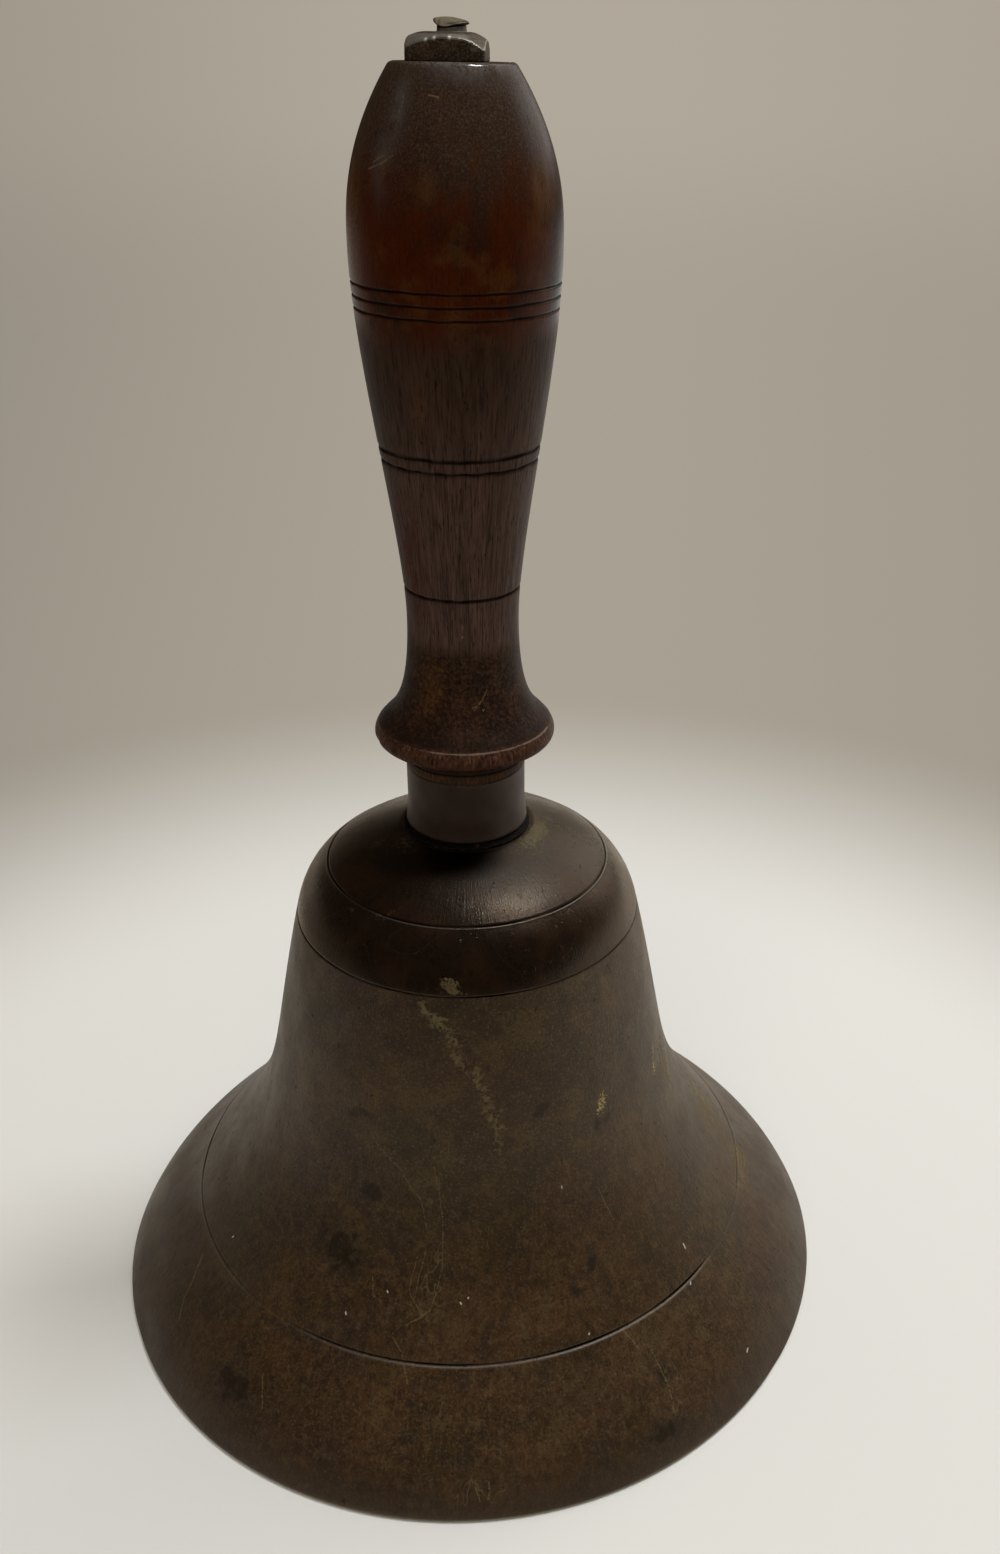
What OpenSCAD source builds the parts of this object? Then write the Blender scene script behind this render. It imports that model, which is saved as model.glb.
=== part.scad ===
// School hand bell: a turned bell casting under a turned wooden handle.
// One iron rod runs through the handle and the crown. The square nut on top
// pulls them together, and the rod's lower end carries the fork of the clapper.
// The origin is the middle of the mouth, on the plane that the lip stands on.

/* [Bell] */
// Diameter of the mouth at the lip
mouth_d = 165; // [150:1:180]
// Height from the lip to the flat seat on the crown
bell_h = 114.4; // [105:0.2:130]
// Radius of the rounded outer edge of the lip
lip_edge = 0.8; // [0.3:0.1:1.5]
// Radius of the bell at the turned line above the lip
lip_line_r = 64; // [60:0.5:68]
// Height of that line above the lip
lip_line_z = 23.2; // [18:0.2:28]
// Radius of the bell at the turned line on the shoulder
shoulder_line_r = 37.1; // [33:0.1:41]
// Drop from the crown seat to that line
shoulder_drop = 19.4; // [16:0.2:24]
// Radius of the turned line on the crown
crown_line_r = 30; // [26:0.1:32]
// Radius of the flat seat on the crown
seat_r = 14; // [13.9:0.1:16]

/* [Bell curve] */
// Lean of the wall at the lip, from upright
lip_lean = 25; // [15:1:35]
// Lean of the wall at the line above the lip
lip_line_lean = 40; // [30:1:46]
// Lean of the wall at the shoulder line
shoulder_lean = 13; // [8:1:18]
// Lean of the crown at its flat seat
crown_lean = 67; // [55:1:75]

/* [Bell wall] */
// Wall at the lip
lip_wall = 3; // [2:0.1:4]
// Wall at the sound bow, where the clapper strikes
bow_wall = 4.2; // [3:0.1:5]
// Height of the sound bow
bow_z = 14; // [10:1:20]
// Wall of the waist
waist_wall = 3; // [2:0.1:4]
// Height from which the waist has that wall
waist_z = 60; // [45:1:75]
// Wall of the crown
crown_wall = 4.8; // [3.5:0.1:6]

/* [Turned lines] */
// Width of the turned lines on the bell
bell_line_w = 0.7; // [0.4:0.1:1.2]
// Width of the turned lines on the handle
wood_line_w = 0.9; // [0.4:0.1:1.4]

/* [Ferrule and seat] */
// Thickness of the leather washer on the crown
leather_t = 1; // [0.6:0.1:2]
// Diameter of that washer
leather_d = 27.4; // [27:0.1:27.6]
// Height of the ferrule
ferrule_h = 13.8; // [10:0.1:18]
// Diameter of the ferrule at its top
ferrule_d = 24.6; // [23.6:0.1:25.2]
// Diameter of the ferrule at its foot
ferrule_foot_d = 25.5; // [25.3:0.1:26.4]
// Height over which the foot flares
ferrule_flare_h = 5; // [3:0.5:7]
// Radius of the rounded edge under the foot
ferrule_edge = 1; // [0.5:0.1:1.2]
// Wall of the ferrule at its top
ferrule_wall = 1.5; // [1:0.1:2.2]

/* [Handle] */
// Length of the handle above the ferrule
handle_len = 130.1; // [122:0.1:145]
// Height of the plain collar on the ferrule
collar_h = 2.2; // [1.6:0.1:2.6]
// Diameter of the bead above the collar
bead_d = 26; // [25.4:0.1:27]
// Thickness of the bead
bead_t = 1.6; // [1.2:0.1:2]
// Diameter of the rim
rim_d = 36.8; // [34:0.2:40]
// Height of the widest part of the rim above the ferrule
rim_rise = 7.4; // [6.8:0.1:9]
// Rounding of the rim below its widest part
rim_under = 1.8; // [1.2:0.1:2]
// Rounding of the rim above its widest part
rim_over = 2.9; // [2:0.1:3.5]
// Diameter of the neck
neck_d = 22.1; // [20:0.1:24]
// Height of the narrowest part of the neck above the ferrule
neck_rise = 31.8; // [27:0.1:36]
// Diameter of the belly
belly_d = 38; // [34:0.5:42]
// Height of the widest part of the belly above the ferrule
belly_rise = 100.8; // [94:0.1:106]
// Diameter of the flat top
top_flat_d = 20; // [19:0.5:22]
// Radius of the edge round the flat top
top_edge = 1.2; // [0.6:0.1:2]
// Height of the single line on the neck above the ferrule
single_line_rise = 38.6; // [34:0.1:44]
// Height of the middle of the pair of lines above the ferrule
pair_rise = 65.1; // [58:0.1:72]
// Spacing of the lines of the pair
pair_pitch = 2.3; // [1.6:0.1:3]
// Height of the middle of the three lines above the ferrule
triple_rise = 93.3; // [86:0.1:98]
// Spacing of the three lines
triple_pitch = 2.2; // [1.6:0.1:3]

/* [Rod and nuts] */
// Diameter of the iron rod
rod_d = 6.4; // [5.4:0.1:7]
// Width of the square nut on top, across its flats
top_nut_w = 13.3; // [12.5:0.1:15]
// Height of that nut
top_nut_h = 4.4; // [3.5:0.1:6]
// How far the nut's hole is off its middle
top_nut_offset = 0.7; // [0:0.1:0.8]
// Turn of the top nut from square to the front
top_nut_turn = 0; // [0:1:45]
// Diameter of the washer sunk under the top nut
nut_washer_d = 11; // [9:0.1:11.2]
// Thickness of both iron washers of the rod
washer_t = 1.6; // [1:0.1:2]
// Diameter of the rod's end above the nut
rod_tip_d = 5; // [4:0.1:5.3]
// How far the rod stands out of the nut
rod_tip_h = 2.3; // [1.5:0.1:4]
// Diameter of the hammered head on the rod's end
rod_head_d = 6; // [5.5:0.1:8]
// Thickness of that head
rod_head_t = 0.8; // [0.5:0.1:1.2]
// Diameter of the washer inside the crown
crown_washer_d = 22; // [18:0.5:23]
// Width of the square nut inside the crown, across its flats
crown_nut_w = 13; // [12:0.1:15]
// Height of that nut
crown_nut_h = 4.8; // [4:0.1:6]

/* [Clapper] */
// Diameter of the fork's round boss
boss_d = 13.6; // [13:0.1:15]
// Height of the boss
boss_h = 7; // [6:0.5:9]
// Depth of the screwed hole in the boss
boss_hole = 5.5; // [4:0.5:5.5]
// Thickness of each cheek of the fork
cheek_t = 3; // [2.2:0.1:3.4]
// Width of the cheeks
cheek_w = 12; // [10:0.1:12.6]
// How far the cheeks run up the sides of the boss
cheek_root = 1.5; // [0.5:0.5:3]
// Drop from the boss to the pivot pin
pin_drop = 8.4; // [7:0.1:10]
// Diameter of the pivot pin
pin_d = 4.8; // [4:0.1:5.4]
// Diameter of the pin's rounded head
pin_head_d = 8; // [7:0.1:9]
// Height of that head
pin_head_h = 2; // [1.5:0.1:3]
// Thickness of the washer behind the split pin
pin_washer_t = 0.8; // [0.5:0.1:1.2]
// Diameter of that washer
pin_washer_d = 9.4; // [8.6:0.1:10.4]
// Diameter of the split pin
split_d = 1.4; // [1:0.1:1.6]
// Length that the pivot pin stands out past the split pin
pin_tail = 1.4; // [1:0.1:2]
// Thickness of the clapper's eye along the pin
eye_t = 6; // [4.5:0.1:6.4]
// Diameter of the clapper's eye
eye_d = 11.6; // [10:0.1:12]
// Diameter of the clapper's stem under the eye
stem_top_d = 5.6; // [5:0.1:6]
// Diameter of the stem above the ball
stem_low_d = 7; // [6:0.1:7.6]
// Diameter of the stem through the ball
stem_core_d = 5; // [4:0.1:5.6]
// Diameter of the ball
ball_d = 23; // [20:0.5:25]
// Depth of the flat at each end of the ball's hole
ball_flat = 0.6; // [0.3:0.1:1]
// Height of the ball's middle above the mouth
ball_rise = 20; // [18:0.5:30]
// Diameter of the riveted end under the ball
rivet_d = 7.6; // [6.5:0.1:9]
// Height of the riveted end
rivet_h = 1.6; // [1:0.1:2.4]

/* [Fits] */
// Gap round a plain shank in its hole
shank_gap = 0.3; // [0.15:0.05:0.5]
// Gap of the pressed and screwed fits
tight_gap = 0.03; // [0.02:0.01:0.05]
// Gap between the pivot pin and the clapper's eye
pivot_gap = 0.08; // [0.03:0.01:0.1]
// Gap on each side of the eye in the fork
side_gap = 0.25; // [0.15:0.05:0.6]

/* [Hidden] */
$fn = 96;
small_fn = 48;
curve_steps = 24;
arc_steps = 8;

// How far each curve keeps its lean, as a share of the straight line between its ends
lip_pull = [0.37, 0.387];
waist_pull = [0.444, 0.535];
crown_pull = [0.405, 0.441];
cove_pull = [0.15, 0.84];
swell_pull = [0.223, 0.269];
top_pull = [0.218, 0.503];
// Lean of the handle where the cove leaves the rim, and where the top curve ends
rim_lean = -30;
top_lean = -33;
// Angle at which the rounding of the rim ends
rim_turn = 46;
// Diameter over the corners of a square nut and height of its bevel, as shares of its width and height
nut_corners = 1.4;
nut_bevel = 0.4;
// How far the bevel runs inward for each millimetre that it rises
bevel_run = 2.3;
// Radius of the split pin's loop, and thickness and length of its bent legs, as shares of its diameter
split_loop = 1.1;
split_leg_d = 0.8;
split_leg_l = 2.4;
// Angle at which the legs of the split pin are bent apart
split_bend = 40;
// How far a cut runs past what it cuts
past = 1;

// A direction that leans outward from upright, as [r, z]
function leaning(lean) = [sin(lean), cos(lean)];
// The point at share t of a cubic curve with the four given control points
function bezier(c, t) =
    pow(1 - t, 3) * c[0] + 3 * pow(1 - t, 2) * t * c[1] + 3 * (1 - t) * t * t * c[2] + pow(t, 3) * c[3];
// The points from a to b of a curve that starts with lean la and ends with lean lb
function curve(a, la, b, lb, pull) =
    let (span = norm(b - a),
         c = [a, a + leaning(la) * pull[0] * span, b - leaning(lb) * pull[1] * span, b])
    [for (i = [0:curve_steps]) bezier(c, i / curve_steps)];
// The points of an arc round a centre, between two angles from level
function arc(centre, r, from, to) =
    [for (i = [0:arc_steps]) let (a = from + (to - from) * i / arc_steps) centre + r * [cos(a), sin(a)]];
// All but the last point of a list
function open_end(list) = [for (i = [0:len(list) - 2]) list[i]];
// A smooth step from a to b as t goes from 0 to 1
function blend(a, b, t) = let (s = max(0, min(1, t))) a + (b - a) * s * s * (3 - 2 * s);
// The unit normal on the right of a line of points, at point i
function side(list, i) =
    let (d = list[min(i + 1, len(list) - 1)] - list[max(i - 1, 0)]) [d[1], -d[0]] / norm(d);
// The radius of an outline at a height, and the height at a radius
function radius_at(list, z) = lookup(z, [for (p = list) [p[1], p[0]]]);
function height_at(list, r) = lookup(r, list);

// Bell outline, from the lip up to the crown seat
shoulder_line_z = bell_h - shoulder_drop;
lip_edge_centre = [mouth_d / 2 - lip_edge, lip_edge];
lip_start = lip_edge_centre + lip_edge * [cos(lip_lean), sin(lip_lean)];
lip_line = [lip_line_r, lip_line_z];
shoulder_line = [shoulder_line_r, shoulder_line_z];
lip_curve = curve(lip_start, -lip_lean, lip_line, -lip_line_lean, lip_pull);
waist_curve = curve(lip_line, -lip_line_lean, shoulder_line, -shoulder_lean, waist_pull);
crown_curve = curve(shoulder_line, -shoulder_lean, [seat_r, bell_h], -crown_lean, crown_pull);
skin = concat(open_end(lip_curve), open_end(waist_curve), crown_curve);

// Wall of the bell at a height, thick at the sound bow and the crown
function wall_at(z) =
    z < bow_z ? blend(lip_wall, bow_wall, z / bow_z)
    : z < shoulder_line_z ? blend(bow_wall, waist_wall, (z - bow_z) / (waist_z - bow_z))
    : blend(waist_wall, crown_wall, (z - shoulder_line_z) / shoulder_drop);
hollow = [for (i = [0:len(skin) - 1]) skin[i] - side(skin, i) * wall_at(skin[i][1])];
hollow_top_z = hollow[len(hollow) - 1][1];

// Heights of the stack above the crown
leather_top_z = bell_h + leather_t;
foot_z = leather_top_z + ferrule_h;
handle_top_z = foot_z + handle_len;
nut_top_z = handle_top_z + top_nut_h;
rod_top_z = nut_top_z + rod_tip_h;

// Handle outline, from the ferrule up to the flat top
bore_r = rod_d / 2 + shank_gap;
tenon_r = ferrule_d / 2 - ferrule_wall - tight_gap;
rim_z = foot_z + rim_rise;
rim_under_centre = [rim_d / 2 - rim_under, rim_z];
rim_over_centre = [rim_d / 2 - rim_over, rim_z];
rim_top = rim_over_centre + rim_over * [cos(rim_turn), sin(rim_turn)];
neck = [neck_d / 2, foot_z + neck_rise];
belly = [belly_d / 2, foot_z + belly_rise];
top_edge_centre = [top_flat_d / 2, handle_top_z - top_edge];
top_start = top_edge_centre + top_edge * [cos(top_lean), -sin(top_lean)];
bead_z = foot_z + collar_h + bead_t / 2;
rim_curve = arc(rim_over_centre, rim_over, 0, rim_turn);
cove_curve = curve(rim_top, rim_lean, neck, 0, cove_pull);
swell_curve = curve(neck, 0, belly, 0, swell_pull);
top_curve = curve(belly, 0, top_start, top_lean, top_pull);
grip = concat(open_end(rim_curve), open_end(cove_curve), open_end(swell_curve), open_end(top_curve),
              arc(top_edge_centre, top_edge, -top_lean, 90));
handle_foot = concat([[ferrule_d / 2, foot_z], [ferrule_d / 2, foot_z + collar_h]],
                     arc([bead_d / 2 - bead_t / 2, bead_z], bead_t / 2, -90, 90),
                     arc(rim_under_centre, rim_under, -90, 0));
wood_lines = concat([foot_z + single_line_rise],
                    [for (i = [-1, 1]) foot_z + pair_rise + i * pair_pitch / 2],
                    [for (i = [-1:1]) foot_z + triple_rise + i * triple_pitch]);

// Heights of the stack inside the bell
crown_nut_z = hollow_top_z - washer_t - crown_nut_h;
boss_z = crown_nut_z - boss_h;
pin_z = boss_z - pin_drop;
rod_low_z = boss_z + boss_h - boss_hole;
fork_gap = eye_t + 2 * side_gap;
cheek_y = fork_gap / 2 + cheek_t;
ball_top_z = ball_rise + ball_d / 2 - ball_flat;
ball_low_z = ball_rise - ball_d / 2 + ball_flat;
rivet_low_z = ball_low_z - rivet_h;
split_y = cheek_y + pin_washer_t + tight_gap + split_d / 2;
pin_end_y = split_y + pin_tail;
// Middle of the wall of the clapper's eye, where the stem ends
eye_wall_r = (pin_d / 2 + pivot_gap + eye_d / 2) / 2;

// A ring cut into a turned surface
module ring_cut(r, z, w) {
    rotate_extrude() translate([r, z]) circle(d = w, $fn = small_fn);
}
// A plain round washer that lies on height z
module washer(d, hole_d, t, z) {
    translate([0, 0, z]) difference() {
        cylinder(d = d, h = t);
        translate([0, 0, -past]) cylinder(d = hole_d, h = t + 2 * past);
    }
}
// A square nut on height z, with rounded corners and a bevelled top, drilled along the rod
module square_nut(w, h, z, offset_x = 0, turn = 0) {
    corners_d = nut_corners * w;
    bevel = nut_bevel * h;
    difference() {
        rotate([0, 0, turn]) translate([-offset_x, 0, z]) intersection() {
            translate([-w / 2, -w / 2, 0]) cube([w, w, h]);
            union() {
                cylinder(d = corners_d, h = h - bevel);
                translate([0, 0, h - bevel])
                    cylinder(d1 = corners_d, d2 = corners_d - 2 * bevel_run * bevel, h = bevel);
            }
        }
        translate([0, 0, z - past]) cylinder(r = rod_d / 2 + tight_gap, h = h + 2 * past);
    }
}
// A cylinder along Y between two places, about the height of the pivot pin
module along_pin(d, from_y, to_y) {
    translate([0, to_y, pin_z]) rotate([90, 0, 0]) cylinder(d = d, h = to_y - from_y);
}

module bell() {
    color([0.27, 0.21, 0.15]) difference() {
        rotate_extrude() polygon(concat([[0, 0]], open_end(arc(lip_edge_centre, lip_edge, -90, lip_lean)),
                                        skin, [[0, bell_h]]));
        rotate_extrude() polygon(concat([[0, hollow[0][1]]], hollow, [[0, hollow_top_z]]));
        cylinder(r = bore_r, h = bell_h + past);
        ring_cut(lip_line_r, lip_line_z, bell_line_w);
        ring_cut(shoulder_line_r, shoulder_line_z, bell_line_w);
        ring_cut(crown_line_r, height_at(crown_curve, crown_line_r), bell_line_w);
    }
}

module leather_washer() {
    color([0.09, 0.07, 0.06]) washer(leather_d, 2 * bore_r, leather_t, bell_h);
}

module ferrule() {
    foot_r = ferrule_foot_d / 2;
    color([0.25, 0.24, 0.24]) difference() {
        rotate_extrude() polygon(concat([[0, leather_top_z]],
            arc([foot_r - ferrule_edge, leather_top_z + ferrule_edge], ferrule_edge, -90, 0),
            [[ferrule_d / 2, leather_top_z + ferrule_flare_h], [ferrule_d / 2, foot_z], [0, foot_z]]));
        translate([0, 0, leather_top_z - past]) cylinder(r = tenon_r + tight_gap, h = ferrule_h + 2 * past);
    }
}

module handle() {
    color([0.24, 0.13, 0.08]) difference() {
        rotate_extrude() polygon(concat([[0, leather_top_z], [tenon_r, leather_top_z], [tenon_r, foot_z]],
                                        handle_foot, grip, [[0, handle_top_z]]));
        translate([0, 0, bell_h]) cylinder(r = bore_r, h = handle_top_z);
        translate([0, 0, handle_top_z - washer_t])
            cylinder(d = nut_washer_d + 2 * shank_gap, h = washer_t + past);
        for (z = wood_lines) ring_cut(radius_at(grip, z), z, wood_line_w);
    }
}

module nut_washer() {
    color([0.2, 0.19, 0.18]) washer(nut_washer_d, 2 * bore_r, washer_t, handle_top_z - washer_t);
}

module top_nut() {
    color([0.2, 0.19, 0.16]) square_nut(top_nut_w, top_nut_h, handle_top_z, top_nut_offset, top_nut_turn);
}

module centre_rod() {
    color([0.33, 0.3, 0.26]) {
        translate([0, 0, rod_low_z]) cylinder(d = rod_d, h = nut_top_z - rod_low_z);
        translate([0, 0, nut_top_z - past]) cylinder(d = rod_tip_d, h = past + rod_tip_h - rod_head_t / 2);
        translate([0, 0, rod_top_z - rod_head_t]) cylinder(d = rod_head_d, h = rod_head_t);
    }
}

module crown_washer() {
    color([0.3, 0.28, 0.26]) washer(crown_washer_d, 2 * bore_r, washer_t, hollow_top_z - washer_t);
}

module crown_nut() {
    color([0.28, 0.26, 0.24]) square_nut(crown_nut_w, crown_nut_h, crown_nut_z);
}

module clapper_fork() {
    color([0.26, 0.24, 0.22]) difference() {
        union() {
            translate([0, 0, boss_z]) cylinder(d = boss_d, h = boss_h);
            for (cheek_low_y = [-cheek_y, fork_gap / 2]) {
                along_pin(cheek_w, cheek_low_y, cheek_low_y + cheek_t);
                translate([-cheek_w / 2, cheek_low_y, pin_z])
                    cube([cheek_w, cheek_t, boss_z + cheek_root - pin_z]);
            }
        }
        translate([0, 0, rod_low_z]) cylinder(r = rod_d / 2 + tight_gap, h = boss_hole + past);
        along_pin(pin_d + 2 * tight_gap, -cheek_y - past, cheek_y + past);
    }
}

module pivot_pin() {
    color([0.36, 0.34, 0.31]) difference() {
        union() {
            along_pin(pin_d, -cheek_y - pin_head_h / 2, pin_end_y);
            translate([0, -cheek_y, pin_z]) rotate([90, 0, 0])
                cylinder(d1 = pin_head_d, d2 = pin_head_d - pin_head_h, h = pin_head_h);
        }
        translate([0, split_y, pin_z - pin_d])
            cylinder(r = split_d / 2 + tight_gap, h = 2 * pin_d, $fn = small_fn);
    }
}

module pin_washer() {
    color([0.3, 0.28, 0.26]) difference() {
        along_pin(pin_washer_d, cheek_y, cheek_y + pin_washer_t);
        along_pin(pin_d + 2 * tight_gap, cheek_y - past, cheek_y + pin_washer_t + past);
    }
}

module split_pin() {
    loop_r = split_loop * split_d;
    leg_z = pin_z - pin_d / 2 - split_d;
    loop_z = pin_z + pin_d / 2 + split_d;
    color([0.4, 0.37, 0.32]) translate([0, split_y, 0]) union() {
        translate([0, 0, leg_z]) cylinder(d = split_d, h = loop_z - leg_z, $fn = small_fn);
        translate([0, 0, loop_z + loop_r]) rotate([90, 0, 0])
            rotate_extrude($fn = small_fn) translate([loop_r, 0]) circle(d = split_d, $fn = small_fn);
        for (way = [-1, 1]) translate([0, 0, leg_z]) rotate([0, 180 - split_bend * way, 0])
            cylinder(d = split_leg_d * split_d, h = split_leg_l * split_d, $fn = small_fn);
    }
}

module clapper_stem() {
    color([0.27, 0.25, 0.23]) difference() {
        union() {
            along_pin(eye_d, -eye_t / 2, eye_t / 2);
            translate([0, 0, ball_top_z])
                cylinder(d1 = stem_low_d, d2 = stem_top_d, h = pin_z - eye_wall_r - ball_top_z);
            translate([0, 0, ball_low_z - rivet_h / 2])
                cylinder(d = stem_core_d, h = ball_top_z + past - ball_low_z + rivet_h / 2);
            translate([0, 0, rivet_low_z]) cylinder(d1 = stem_core_d, d2 = rivet_d, h = rivet_h);
        }
        along_pin(pin_d + 2 * pivot_gap, -cheek_y, cheek_y);
    }
}

module clapper_ball() {
    color([0.22, 0.2, 0.19]) difference() {
        intersection() {
            translate([0, 0, ball_rise]) sphere(d = ball_d);
            translate([0, 0, ball_low_z]) cylinder(d = ball_d + past, h = ball_top_z - ball_low_z);
        }
        translate([0, 0, ball_low_z - past])
            cylinder(r = stem_core_d / 2 + tight_gap, h = ball_d + 2 * past);
    }
}

bell();
leather_washer();
ferrule();
handle();
nut_washer();
top_nut();
centre_rod();
crown_washer();
crown_nut();
clapper_fork();
pivot_pin();
pin_washer();
split_pin();
clapper_stem();
clapper_ball();
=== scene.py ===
"""Dresses a school hand bell: turned metal and wood, worn iron fittings and a plain studio."""

import math

import bpy
import numpy as np
from bpy.props import FloatProperty, FloatVectorProperty, IntProperty, PointerProperty
from mathutils import Matrix, Vector


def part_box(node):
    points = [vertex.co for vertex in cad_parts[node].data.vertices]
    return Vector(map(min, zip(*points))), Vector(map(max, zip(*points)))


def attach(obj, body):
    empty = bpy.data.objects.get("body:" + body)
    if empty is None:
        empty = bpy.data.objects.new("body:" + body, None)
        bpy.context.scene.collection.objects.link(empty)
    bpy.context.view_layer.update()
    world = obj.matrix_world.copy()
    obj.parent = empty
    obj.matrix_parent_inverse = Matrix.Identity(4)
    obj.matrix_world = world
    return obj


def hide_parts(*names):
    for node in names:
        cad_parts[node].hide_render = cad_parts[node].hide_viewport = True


bl_info = {
    "name": "School hand bell",
    "version": (1, 0, 0),
    "blender": (4, 5, 0),
    "location": "3D View > Sidebar > Hand bell",
    "description": "Builds the turned and worn surfaces of a school hand bell",
    "category": "Add Mesh",
}

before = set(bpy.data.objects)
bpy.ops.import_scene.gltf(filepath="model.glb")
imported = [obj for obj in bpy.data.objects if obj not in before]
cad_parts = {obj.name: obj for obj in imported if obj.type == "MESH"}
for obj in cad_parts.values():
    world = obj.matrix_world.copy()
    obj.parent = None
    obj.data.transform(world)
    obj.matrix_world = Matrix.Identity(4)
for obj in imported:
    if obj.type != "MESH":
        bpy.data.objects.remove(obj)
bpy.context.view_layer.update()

MM = 0.001
TURN = 2 * math.pi
HAND, SWINGING = "bell_and_handle", "clapper"
# Radius of the holes for the rod, and how much narrower the ferrule is at its top than at its foot
ROD_HOLE, TAPER = 3.5 * MM, 0.45 * MM
# Angle in degrees, down from level, at which the clapper's ball is struck
CONTACT = 59.4


def low(node):
    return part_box(node)[0]


def high(node):
    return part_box(node)[1]


def number(name, description, default, **kind):
    return FloatProperty(name=name, description=description, default=default, **kind)


def length(name, description, millimetres):
    return number(name, description, millimetres * MM, unit="LENGTH", precision=5)


def lean(name, description, degrees):
    return number(name, description, math.radians(degrees), subtype="ANGLE")


def part_of(name, description, default):
    return number(name, description, default, subtype="FACTOR")


def pixels(name, description, default):
    return number(name, description, default, subtype="PIXEL")


def watts(name, description, default):
    return number(name, description, default, unit="POWER")


def steps_round(what, default):
    return IntProperty(name="Steps round", description="Steps round " + what, default=default, min=24)


def colour(name, description, red, green, blue):
    return FloatVectorProperty(name=name, description=description, default=(red, green, blue),
                               subtype="COLOR", size=3, min=0, max=1)


class BellSizes(bpy.types.PropertyGroup):
    """The turned outline of the bell, and its wall"""
    lip_edge: length("Lip edge", "Radius of the rounded outer edge of the lip", 0.8)
    line_r: length("Line radius", "Radius of the bell at the turned line above the lip", 64)
    line_z: length("Line height", "Height of that line above the lip", 23.2)
    shoulder_r: length("Shoulder radius", "Radius of the bell at the turned line on the shoulder", 37.1)
    shoulder_drop: length("Shoulder drop", "Drop from the crown seat to that line", 19.4)
    crown_line_r: length("Crown line radius", "Radius of the turned line on the crown", 30)
    seat_r: length("Seat radius", "Radius of the flat seat on the crown", 14)
    lip_lean: lean("Lip lean", "Lean of the wall at the lip, from upright", 25)
    line_lean: lean("Line lean", "Lean of the wall at the line above the lip", 40)
    shoulder_lean: lean("Shoulder lean", "Lean of the wall at the shoulder line", 13)
    crown_lean: lean("Crown lean", "Lean of the crown at its flat seat", 67)
    lip_wall: length("Lip wall", "Wall at the lip", 3)
    bow_wall: length("Bow wall", "Wall at the sound bow", 4.2)
    bow_z: length("Bow height", "Height of the sound bow", 14)
    waist_wall: length("Waist wall", "Wall of the waist", 3)
    waist_z: length("Waist height", "Height from which the waist has that wall", 60)
    crown_wall: length("Crown wall", "Wall of the crown", 4.8)
    groove_w: length("Line width", "Width of the turned lines", 0.56)
    groove_depth: length("Line depth", "Depth of the turned lines", 0.34)
    groove_lip: length("Line burr", "Height of the burr along each line", 0.06)
    steps: steps_round("the bell", 300)


class HandleSizes(bpy.types.PropertyGroup):
    """The turned outline of the handle, measured up from the ferrule"""
    collar_h: length("Collar height", "Height of the plain collar", 2.2)
    bead_d: length("Bead diameter", "Diameter of the bead above the collar", 26)
    bead_t: length("Bead thickness", "Thickness of the bead", 1.6)
    rim_d: length("Rim diameter", "Diameter of the rim", 36.8)
    rim_rise: length("Rim height", "Height of the widest part of the rim", 7.4)
    rim_under: length("Rim rounding below", "Rounding of the rim below its widest part", 1.8)
    rim_over: length("Rim rounding above", "Rounding of the rim above its widest part", 2.9)
    rim_turn: lean("Rim turn", "Angle at which the rounding of the rim ends", 46)
    rim_lean: lean("Cove lean", "Lean of the cove where it leaves the rim", -30)
    arris: length("Arris", "Height of the worn edge between rim and cove", 0.12)
    neck_d: length("Neck diameter", "Diameter of the neck", 22.1)
    neck_rise: length("Neck height", "Height of the narrowest part of the neck", 31.8)
    belly_d: length("Belly diameter", "Diameter of the belly", 38)
    belly_rise: length("Belly height", "Height of the widest part of the belly", 100.8)
    top_flat_d: length("Top diameter", "Diameter of the flat top", 20)
    top_edge: length("Top edge", "Radius of the edge round the flat top", 1.2)
    top_lean: lean("Top lean", "Lean of the outline at the edge round the top", -33)
    single_rise: length("Single line", "Height of the single line on the neck", 38.6)
    pair_rise: length("Pair of lines", "Height of the middle of the pair of lines", 65.1)
    pair_pitch: length("Pair spacing", "Spacing of the lines of the pair", 2.3)
    triple_rise: length("Three lines", "Height of the middle of the three lines", 93.3)
    triple_pitch: length("Three lines spacing", "Spacing of the three lines", 2.2)
    groove_w: length("Line width", "Width of the turned lines", 0.6)
    groove_depth: length("Line depth", "Depth of the turned lines", 0.45)
    steps: steps_round("the handle", 256)


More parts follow.
